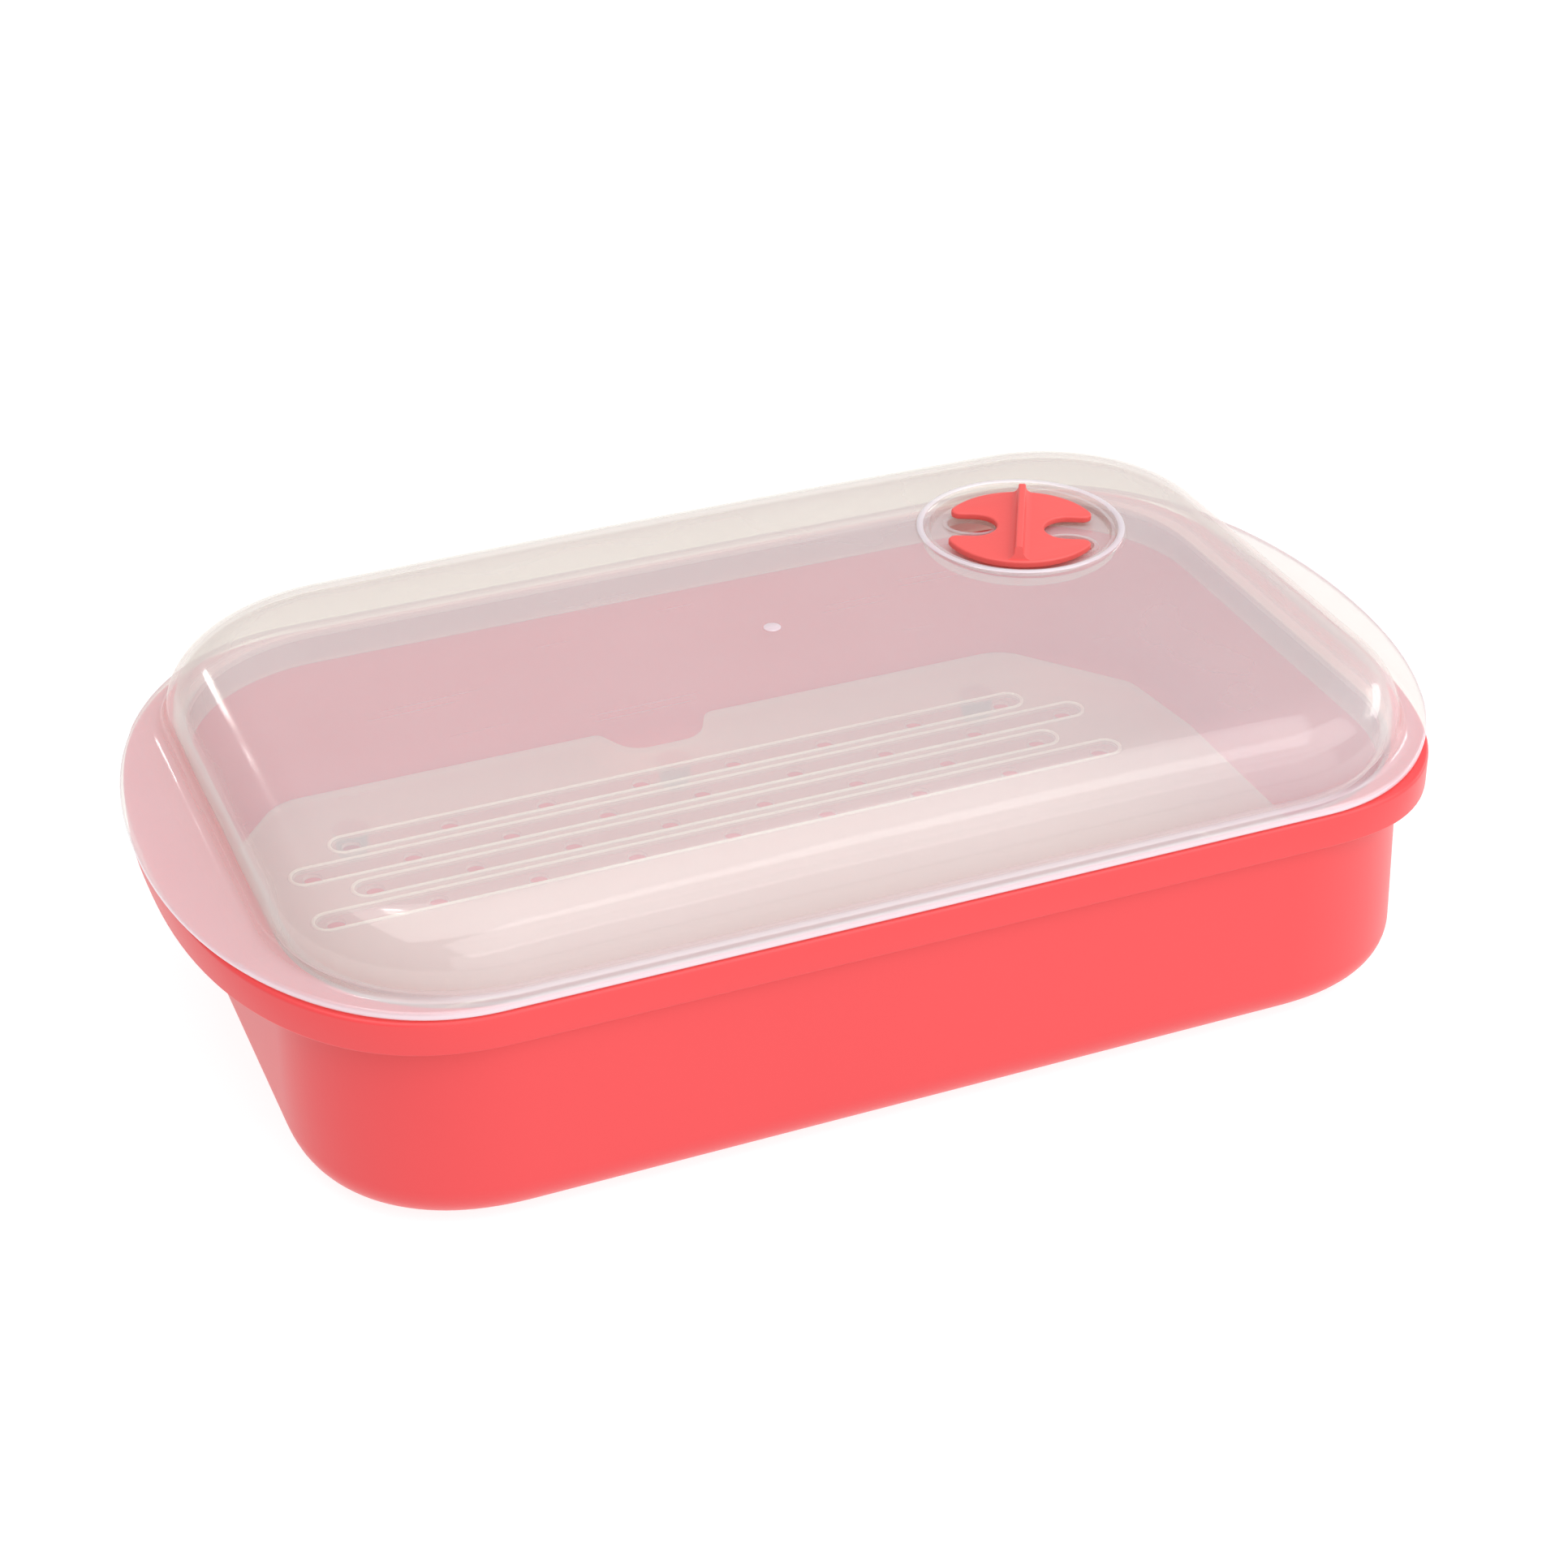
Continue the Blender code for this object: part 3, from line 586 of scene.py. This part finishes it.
def build_container():
    low = [(inset, RIM_BOTTOM + RIM_EDGE_LOW + h)
           for inset, h in rounded_edge(RIM_EDGE_LOW, 4, -90, 0)]
    high = [(inset, RIM_TOP - RIM_EDGE_TOP + h)
            for inset, h in rounded_edge(RIM_EDGE_TOP, 6, 0, 90)]
    shell = loft("container_shell", [level(rim_outline(i), z) for i, z in low + high])
    boolean(shell, loft("ear_pocket", [
        level(rim_outline(WALL), RIM_BOTTOM - 0.002),
        level(rim_outline(WALL), RIM_TOP - RIM_PLATE),
    ]), "DIFFERENCE")
    boolean(shell, loft("body", body_rings(0.0, BASE_FILLET, 0.0, RIM_TOP - 0.0003)), "UNION")
    boolean(shell, loft("cavity", body_rings(WALL, BASE_FILLET - WALL, WALL, RIM_TOP + 0.004)),
            "DIFFERENCE")
    finished(shell, CONTAINER_FINISH, "container", "container")


# ---------------------------------------------------------------- lid
def crown(x, z):
    return z - CROWN * (x / (FOOT_X - SHOULDER)) ** 2


def flange_outline(inset):
    ear = (FLANGE_X, FLANGE_CURVE)
    return ear_outline(FLANGE_Y, FLANGE_STRAIGHT, ear, ear, inset)


def up_to(outline, limit):
    """The outline drawn back along its rays to a straight line across each ear."""
    out = []
    for (x, y), (o, d) in zip(outline, STATIONS):
        if abs(x) > limit:
            r = (limit - abs(o[0])) / abs(d[0])
            x, y = o[0] + d[0] * r, o[1] + d[1] * r
        out.append((x, y))
    return out


def stepped(outline, z):
    """Outboard of its step an ear lies a little lower."""
    return [(x, y, z - (EAR_STEP if abs(x) > EAR_STEP_X else 0.0)) for x, y in outline]


def dome_rings(foot_z, top_z, inset, low_angle):
    rings = []
    wide = SHOULDER - inset
    tall = top_z - foot_z
    for i in range(SHOULDER_STEPS + 1):
        a = low_angle + (SHOULDER_STOP - low_angle) * i / SHOULDER_STEPS
        step = inset + wide * (1 - math.cos(a))
        z = foot_z + tall * math.sin(a)
        share = math.sin(a) ** 2
        outline = box_outline(FOOT_X - step, FOOT_Y - step)
        rings.append([(x, y, z + share * (crown(x, z) - z)) for x, y in outline])
    rim = box_outline(FOOT_X - SHOULDER, FOOT_Y - SHOULDER)
    for s in (0.995, 0.90, 0.75, 0.55, 0.35, 0.18, 0.06):
        rings.append([(x * s, y * s, crown(x * s, top_z)) for x, y in rim])
    return rings


def sweep_rings(inset, base_z):
    """Hollow sweep from the flange up to the foot of the dome, deepest at the ears."""
    rings = []
    for i in range(9):
        a = 0.5 * math.pi * i / 9
        rings.append(level(box_outline(FOOT_X - inset + SWEEP_X * (1 - math.sin(a)),
                                       FOOT_Y - inset + SWEEP_Y * (1 - math.sin(a))),
                           base_z + SWEEP_Z * (1 - math.cos(a))))
    return rings


def build_lid():
    spigot_x = MOUTH_X - WALL - SPIGOT_CLEAR
    spigot_y = MOUTH_Y - WALL - SPIGOT_CLEAR
    spigot_in = box_outline(spigot_x - SPIGOT_THICK, spigot_y - SPIGOT_THICK)
    foot_z = FLANGE_TOP + FOOT_RISE
    start = math.asin((SWEEP_Z - FOOT_RISE) / (DOME_TOP - foot_z))
    inside = dome_rings(foot_z - 0.0006, DOME_TOP - SHELL, SHELL, start)
    outside = dome_rings(foot_z, DOME_TOP, 0.0, start)
    edge_low = [(i, SEAT + FLANGE_EDGE_LOW + h)
                for i, h in rounded_edge(FLANGE_EDGE_LOW, 4, -90, 0)]
    edge_high = [(i, FLANGE_TOP - FLANGE_EDGE_TOP + h)
                 for i, h in rounded_edge(FLANGE_EDGE_TOP, 5, 0, 90)]
    shell = loft("lid_shell", list(reversed(inside)) + [
        level(box_outline(FOOT_X - SHELL, FOOT_Y - SHELL), FLANGE_TOP + 0.0012),
        level(box_outline(FOOT_X - SHELL - 0.0003, FOOT_Y - SHELL - 0.0002), FLANGE_TOP + 0.0001),
        level(spigot_in, FLANGE_TOP - 0.0003),
        level(spigot_in, SEAT - 0.001),
        level(spigot_in, SPIGOT_BOTTOM + 0.0003),
        level(box_outline(spigot_x - SPIGOT_THICK + 0.0003, spigot_y - SPIGOT_THICK + 0.0003),
              SPIGOT_BOTTOM),
        level(box_outline(spigot_x - 0.0003, spigot_y - 0.0003), SPIGOT_BOTTOM),
        level(box_outline(spigot_x, spigot_y), SPIGOT_BOTTOM + 0.0003),
        level(box_outline(spigot_x, spigot_y), SEAT),
    ] + [level(flange_outline(i), z) for i, z in edge_low]
        + [stepped(flange_outline(i), z) for i, z in edge_high]
        + [stepped(up_to(flange_outline(0.0010), EAR_STEP_X + 0.0005), FLANGE_TOP),
           level(up_to(flange_outline(0.0011), EAR_STEP_X - 0.0003), FLANGE_TOP)]
        + sweep_rings(0.0, FLANGE_TOP) + outside)
    well_bottom = WELL_FLOOR - WELL_FLOOR_THICK
    cx, cy = VALVE.x, VALVE.y
    boolean(shell, turned_piece("well_cup", cx, cy, [
        (WELL_R + WELL_WALL - 0.0004, well_bottom), (WELL_R + WELL_WALL, well_bottom + 0.0004),
        (WELL_R + WELL_WALL, DOME_TOP - 0.0008)]), "UNION")
    bead = []
    for i in range(17):
        a = math.pi * i / 16
        bead.append((BEAD_R - BEAD_HALF * math.cos(a),
                     DOME_TOP - 0.0014 + (BEAD_TOP - DOME_TOP + 0.0014) * math.sin(a)))
    bead += [(BEAD_R + BEAD_HALF, DOME_TOP - 0.0018), (BEAD_R - BEAD_HALF, DOME_TOP - 0.0018)]
    boolean(shell, turned_piece("bead", cx, cy, bead, close_ring=True), "UNION")
    boolean(shell, turned_piece("well", cx, cy, [
        (WELL_R - 0.0008, WELL_FLOOR), (WELL_R - 0.0002, WELL_FLOOR + 0.0002),
        (WELL_R, WELL_FLOOR + 0.0008), (WELL_R + 0.0006, DOME_TOP + 0.001),
        (WELL_R + 0.0008, DOME_TOP + 0.004)]), "DIFFERENCE")
    for sign in (1, -1):
        vx = cx + sign * VENT_R * math.cos(VENT_TURN)
        vy = cy + sign * VENT_R * math.sin(VENT_TURN)
        ux, uy = math.cos(VENT_SLANT), math.sin(VENT_SLANT)
        for grow, low, high, operation in (
                (0.0010, WELL_FLOOR - 0.0004, WELL_FLOOR + 0.0004, "UNION"),
                (0.0, well_bottom - 0.002, WELL_FLOOR + 0.002, "DIFFERENCE")):
            pts = []
            for k in range(64):
                t = 2 * math.pi * k / 64
                p = (VENT_LONG + grow) * math.cos(t)
                q = (VENT_SHORT + grow) * math.sin(t)
                pts.append((vx + ux * p - uy * q, vy + uy * p + ux * q))
            boolean(shell, prism("vent", pts, low, high), operation)
    boolean(shell, turned_piece("stem_hole", cx, cy, [
        (STEM_HOLE, well_bottom - 0.002), (STEM_HOLE, WELL_FLOOR + 0.002)]), "DIFFERENCE")
    boolean(shell, turned_piece("gate_mark", 0.0009, 0.0064, [
        (0.0021, DOME_TOP - 0.0004), (0.0020, DOME_TOP + 0.0001), (0.0016, DOME_TOP + 0.0003)],
        segments=40), "UNION")
    finished(shell, LID_FINISH, "lid", "lid")


# ---------------------------------------------------------------- steam valve
def knob_outline():
    r = KNOB_R
    f = LOBE_FILLET
    fy = NOTCH_HALF + f
    fx = math.sqrt((r - f) ** 2 - fy ** 2)
    lobe = math.atan2(fy, fx)
    half = []
    for i in range(33):
        a = math.radians(-90 - 180 * i / 32)
        half.append((NOTCH_CENTRE + NOTCH_HALF * math.cos(a), NOTCH_HALF * math.sin(a)))
    for i in range(11):
        a = -0.5 * math.pi + (lobe + 0.5 * math.pi) * i / 10
        half.append((fx + f * math.cos(a), fy + f * math.sin(a)))
    for i in range(1, 60):
        a = lobe + (math.pi - 2 * lobe) * i / 60
        half.append((r * math.cos(a), r * math.sin(a)))
    for i in range(11):
        a = math.pi - lobe + (lobe + 0.5 * math.pi) * i / 10
        half.append((-fx + f * math.cos(a), fy + f * math.sin(a)))
    return half + [(-x, -y) for x, y in half]


def turned(points):
    c, s = math.cos(KNOB_TURN - 0.5 * math.pi), math.sin(KNOB_TURN - 0.5 * math.pi)
    return [(VALVE.x + c * x - s * y, VALVE.y + s * x + c * y) for x, y in points]


def build_valve():
    bottom = VALVE.z
    top = bottom + KNOB_THICK
    fin_top = KNOB_HIGH[2]
    knob = prism("valve_knob", turned(knob_outline()), bottom, top, edge=KNOB_EDGE,
                 resolution=4)
    section = [(FIN_BASE, bottom + 0.0006)]
    for i in range(13):
        a = math.radians(90.0 * i / 12)
        section.append((FIN_BASE - (FIN_BASE - FIN_HALF) * math.sin(a),
                        top - 0.0002 + 0.0022 * (1 - math.cos(a))))
    for i in range(6):
        a = math.radians(90.0 * i / 5)
        section.append((FIN_HALF - FIN_EDGE * (1 - math.cos(a)),
                        fin_top - FIN_EDGE + FIN_EDGE * math.sin(a)))
    section += [(-w, z) for w, z in reversed(section)]
    rings = []
    for along in (-0.5 * FIN_LENGTH, 0.5 * FIN_LENGTH):
        ring = []
        for w, z in section:
            lean = (z - top) * (FIN_LEAN if along < 0 else -FIN_LEAN)
            (px, py), = turned([(w, along + lean)])
            ring.append((px, py, z))
        rings.append(ring)
    boolean(knob, loft("grip", rings, flat_ends=True), "UNION")
    seat = WELL_FLOOR + 0.0003
    under = WELL_FLOOR - WELL_FLOOR_THICK - 0.0003
    low = KNOB_LOW[2]
    stem = turned_piece("stem", VALVE.x, VALVE.y, [
        (STEM_R - 0.0006, low), (BARB_R, under - 0.0003), (BARB_R - 0.0002, under),
        (STEM_R, under), (STEM_R, seat), (HUB_R, seat), (HUB_R, bottom + 0.0004)], segments=64)
    bm = bmesh.new()
    bmesh.ops.create_cube(bm, size=1.0)
    bmesh.ops.scale(bm, verts=bm.verts, vec=(SPLIT_LONG, SPLIT, SPLIT_TALL))
    bmesh.ops.rotate(bm, verts=bm.verts, matrix=Matrix.Rotation(KNOB_TURN, 3, "Z"))
    bmesh.ops.translate(bm, verts=bm.verts, vec=(VALVE.x, VALVE.y, low + SPLIT_MIDDLE))
    boolean(stem, mesh_object("split", bm), "DIFFERENCE")
    boolean(knob, stem, "UNION")
    finished(knob, KNOB_FINISH, "valve", "vent_valve")


# ---------------------------------------------------------------- steam tray
class Grower:
    """A geometry node tree with named inputs, ended by Realize Instances and Set Material."""

    def __init__(self, name, inputs):
        self.tree = bpy.data.node_groups.new(name, "GeometryNodeTree")
        for label, kind in inputs:
            self.tree.interface.new_socket(label, in_out="INPUT", socket_type=kind)
        self.tree.interface.new_socket("Geometry", in_out="OUTPUT",
                                       socket_type="NodeSocketGeometry")
        self.inputs = self.tree.nodes.new("NodeGroupInput").outputs

    def node(self, kind, settings=None, **values):
        return add_node(self.tree, kind, settings, values).outputs[0]

    def times(self, first, second):
        node = self.tree.nodes.new("ShaderNodeMath")
        node.operation = "MULTIPLY"
        for slot, socket in zip(node.inputs, (first, second)):
            self.tree.links.new(socket, slot)
        return node.outputs[0]

    def end(self, geometry, material):
        real = self.node("GeometryNodeRealizeInstances", Geometry=geometry)
        dressed = self.node("GeometryNodeSetMaterial", Geometry=real, Material=material)
        out = self.tree.nodes.new("NodeGroupOutput")
        self.tree.links.new(dressed, out.inputs[0])
        return self.tree


def perforation_tree():
    """A row of round cutters at an even pitch along X."""
    g = Grower("perforation_row", [("Count", "NodeSocketInt"), ("Pitch", "NodeSocketFloat"),
                                   ("Radius", "NodeSocketFloat"), ("Depth", "NodeSocketFloat")])
    step = g.node("ShaderNodeCombineXYZ", X=g.inputs["Pitch"])
    line = g.node("GeometryNodeMeshLine", {"mode": "OFFSET"}, Count=g.inputs["Count"], Offset=step)
    pin = g.node("GeometryNodeMeshCylinder", Vertices=32, Radius=g.inputs["Radius"],
                 Depth=g.inputs["Depth"])
    return g.end(g.node("GeometryNodeInstanceOnPoints", Points=line, Instance=pin), TRAY_FINISH)


def bead_tree():
    """A fine round bead along the edge of a groove with round ends."""
    g = Grower("groove_bead", [("Reach", "NodeSocketFloat"), ("Half", "NodeSocketFloat"),
                               ("Radius", "NodeSocketFloat")])
    circle = g.node("GeometryNodeCurvePrimitiveCircle", Resolution=48, Radius=g.inputs["Half"])
    spot = g.node("GeometryNodeInputPosition")
    side = g.node("ShaderNodeSeparateXYZ", Vector=spot)
    ahead = g.node("ShaderNodeMath", {"operation": "SIGN"}, Value=side)
    offset = g.node("ShaderNodeCombineXYZ", X=g.times(ahead, g.inputs["Reach"]))
    path = g.node("GeometryNodeSetPosition", Geometry=circle, Offset=offset)
    profile = g.node("GeometryNodeCurvePrimitiveCircle", Resolution=10, Radius=g.inputs["Radius"])
    return g.end(g.node("GeometryNodeCurveToMesh", Curve=path, Profile_Curve=profile), TRAY_FINISH)


def grown(name, tree, place, **sizes):
    """The tree's shape as a plain mesh object, set at its place in its own mesh."""
    host = mesh_object(name, bmesh.new())
    mod = host.modifiers.new(name, "NODES")
    mod.node_group = tree
    for item in tree.interface.items_tree:
        if item.in_out == "INPUT":
            mod[item.identifier] = sizes[item.name]
    mesh = evaluated_mesh(host)
    host.modifiers.remove(mod)
    bm = bmesh.new()
    bm.from_mesh(mesh)
    bmesh.ops.remove_doubles(bm, verts=bm.verts, dist=1e-7)
    bmesh.ops.translate(bm, verts=bm.verts, vec=place)
    bmesh.ops.recalc_face_normals(bm, faces=bm.faces)
    bm.to_mesh(host.data)
    bm.free()
    bpy.data.meshes.remove(mesh)
    return host


def rounded(points, radii):
    """The points joined up, each corner rounded by its own radius."""
    out = []
    steps = 12
    n = len(points)
    for i in range(n):
        p = Vector(points[i])
        to_prev = (Vector(points[i - 1]) - p).normalized()
        to_next = (Vector(points[(i + 1) % n]) - p).normalized()
        half = 0.5 * to_prev.angle(to_next)
        r = radii[i]
        cut = r / math.tan(half)
        centre = p + (to_prev + to_next).normalized() * (r / math.sin(half))
        a = p + to_prev * cut - centre
        b = p + to_next * cut - centre
        turn = a.angle_signed(b)
        for k in range(steps + 1):
            t = -turn * k / steps
            c, s = math.cos(t), math.sin(t)
            out.append((centre.x + c * a.x - s * a.y, centre.y + s * a.x + c * a.y))
    return out


def build_tray():
    half_x = 0.5 * (TRAY_HIGH[0] - TRAY_LOW[0])
    half_y = TRAY_HIGH[1]
    right = [(half_x, -TRAY_END_Y), (half_x, TRAY_END_Y), (TRAY_KNEE_X, TRAY_KNEE_Y),
             (TRAY_CUT_X, half_y)]
    mouth, floor_half = FINGER_HALF + FINGER_MOUTH, FINGER_HALF - FINGER_FLOOR
    finger = [(mouth, half_y), (floor_half, half_y - FINGER_DEEP),
              (-floor_half, half_y - FINGER_DEEP), (-mouth, half_y)]
    left = [(-TRAY_CUT_X, half_y), (-TRAY_KNEE_X, TRAY_KNEE_Y), (-half_x, TRAY_END_Y),
            (-half_x, -TRAY_END_Y), (-TRAY_KNEE_X, -TRAY_KNEE_Y), (-TRAY_CUT_X, -half_y),
            (TRAY_CUT_X, -half_y), (TRAY_KNEE_X, -TRAY_KNEE_Y)]
    radii = [TRAY_END_R, TRAY_END_R, TRAY_KNEE_R, TRAY_CUT_R,
             FINGER_LIP_R, FINGER_R, FINGER_R, FINGER_LIP_R,
             TRAY_CUT_R, TRAY_KNEE_R, TRAY_END_R, TRAY_END_R,
             TRAY_KNEE_R, TRAY_CUT_R, TRAY_CUT_R, TRAY_KNEE_R]
    outline = [(TRAY_X + x, y) for x, y in rounded(right + finger + left, radii)]
    tray = prism("tray_plate", outline, TRAY_TOP - TRAY_THICK, TRAY_TOP, edge=TRAY_EDGE)
    hole_tree, line_tree = perforation_tree(), bead_tree()
    grooves, beads, holes = [], [], []
    for side in (1, -1):
        for row, count in enumerate(ROW_COUNTS):
            y = side * (ROW_FIRST + ROW_PITCH * row)
            reach = 0.5 * (count - 1) * HOLE_PITCH
            turn = reach + GROOVE_END - GROOVE_HALF
            pts = []
            for way in (1, -1):
                for i in range(17):
                    a = math.pi * (i / 16 - 0.5)
                    pts.append((TRAY_X + way * (turn + GROOVE_HALF * math.cos(a)),
                                y + way * GROOVE_HALF * math.sin(a)))
            grooves.append(prism("groove", pts, TRAY_TOP - GROOVE_DEEP, TRAY_TOP + 0.002))
            beads.append(grown("bead", line_tree, (TRAY_X, y, TRAY_TOP), Reach=turn,
                               Half=GROOVE_HALF + BEAD_OUT, Radius=BEAD_LINE))
            holes.append(grown("holes", hole_tree, (TRAY_X - reach, y, TRAY_TOP - TRAY_THICK),
                               Count=count, Pitch=HOLE_PITCH, Radius=HOLE_R, Depth=0.008))
    boolean(tray, gathered("beads", beads), "UNION")
    boolean(tray, gathered("grooves", grooves), "DIFFERENCE")
    boolean(tray, gathered("holes", holes), "DIFFERENCE")
    for lx in (-LEG_X, 0.0, LEG_X):
        for ly in (-LEG_Y, LEG_Y):
            boolean(tray, turned_piece("leg", TRAY_X + lx, ly, [
                (LEG_R * LEG_TAPER - 0.0004, TRAY_LOW[2]),
                (LEG_R * LEG_TAPER, TRAY_LOW[2] + 0.0004),
                (LEG_R, TRAY_TOP - 0.5 * TRAY_THICK)], segments=40), "UNION")
    finished(tray, TRAY_FINISH, "tray", "steam_tray")


build_container()
build_lid()
build_valve()
build_tray()


# ---------------------------------------------------------------- stage, lights and camera
def floor():
    bm = bmesh.new()
    bmesh.ops.create_grid(bm, x_segments=1, y_segments=1, size=FLOOR_SIZE)
    bmesh.ops.translate(bm, verts=bm.verts, vec=(0.0, 0.0, -FLOOR_DROP))
    obj = mesh_object("floor", bm)
    f = Finish("pale_floor")
    grain = speckle(f, 6.0, 2.0)
    bsdf = f.node("ShaderNodeBsdfPrincipled", Roughness=0.9,
                  Base_Color=tone(f, (0.24, 0.24, 0.24), (0.26, 0.26, 0.26), grain))
    bsdf.inputs["Emission Color"].default_value = (1.0, 1.0, 1.0, 1.0)
    bsdf.inputs["Emission Strength"].default_value = FLOOR_GLOW
    obj.data.materials.append(f.done(bsdf.outputs[0]))


def lamp(name, shape, size_x, size_y, brightness, bearing, height, away):
    """A softbox facing the object; bearing runs from +Y towards +X, both angles in degrees."""
    b, h = math.radians(bearing), math.radians(height)
    toward = Vector((math.sin(b) * math.cos(h), math.cos(b) * math.cos(h), math.sin(h)))
    data = bpy.data.lights.new(name, "AREA")
    data.shape = shape
    data.size = size_x
    data.size_y = size_y
    data.energy = brightness * math.pi * size_x * size_y
    obj = bpy.data.objects.new(name, data)
    obj.location = Vector(LAMP_AIM) + away * toward
    obj.rotation_mode = "QUATERNION"
    obj.rotation_quaternion = toward.to_track_quat("Z", "Y")
    bpy.context.scene.collection.objects.link(obj)


def studio():
    world = bpy.data.worlds.new("studio")
    world.use_nodes = True
    background = world.node_tree.nodes["Background"]
    background.inputs["Color"].default_value = (1.0, 1.0, 1.0, 1.0)
    background.inputs["Strength"].default_value = WORLD_LIGHT
    bpy.context.scene.world = world
    bpy.context.scene.view_settings.view_transform = "Standard"
    lamp("overhead", "RECTANGLE", 2.6, 1.6, 1.6, 180, 80, 1.6)
    lamp("front_high", "RECTANGLE", 3.4, 1.1, 1.4, 150, 42, 1.8)
    lamp("front", "RECTANGLE", 2.8, 0.8, 0.8, 165, 14, 1.8)
    lamp("side_window", "RECTANGLE", 0.60, 0.22, 5.0, 80, 13, 1.6)
    lamp("strip_behind", "ELLIPSE", 0.12, 0.07, 12.0, -19, 26, 1.5)
    lamp("small_left", "RECTANGLE", 0.05, 0.16, 22.0, -65, 67.5, 1.5)


def camera():
    a, e = math.radians(CAMERA_TURN), math.radians(CAMERA_RISE)
    back = Vector((math.sin(a) * math.cos(e), -math.cos(a) * math.cos(e), math.sin(e)))
    side = Vector((math.cos(a), math.sin(a), 0.0))
    up = back.cross(side)
    roll = math.radians(CAMERA_ROLL)
    right = math.cos(roll) * side - math.sin(roll) * up
    top = math.sin(roll) * side + math.cos(roll) * up
    aim = Vector(CAMERA_AIM) + CAMERA_SHIFT[0] * right + CAMERA_SHIFT[1] * top
    data = bpy.data.cameras.new("camera")
    data.sensor_width = 36.0
    data.lens = CAMERA_LENS
    data.clip_start = 0.01
    data.clip_end = 30.0
    obj = bpy.data.objects.new("camera", data)
    turn = Matrix((right, top, back)).transposed().to_4x4()
    obj.matrix_world = Matrix.Translation(aim + CAMERA_AWAY * back) @ turn
    bpy.context.scene.collection.objects.link(obj)
    bpy.context.scene.camera = obj


floor()
studio()
camera()
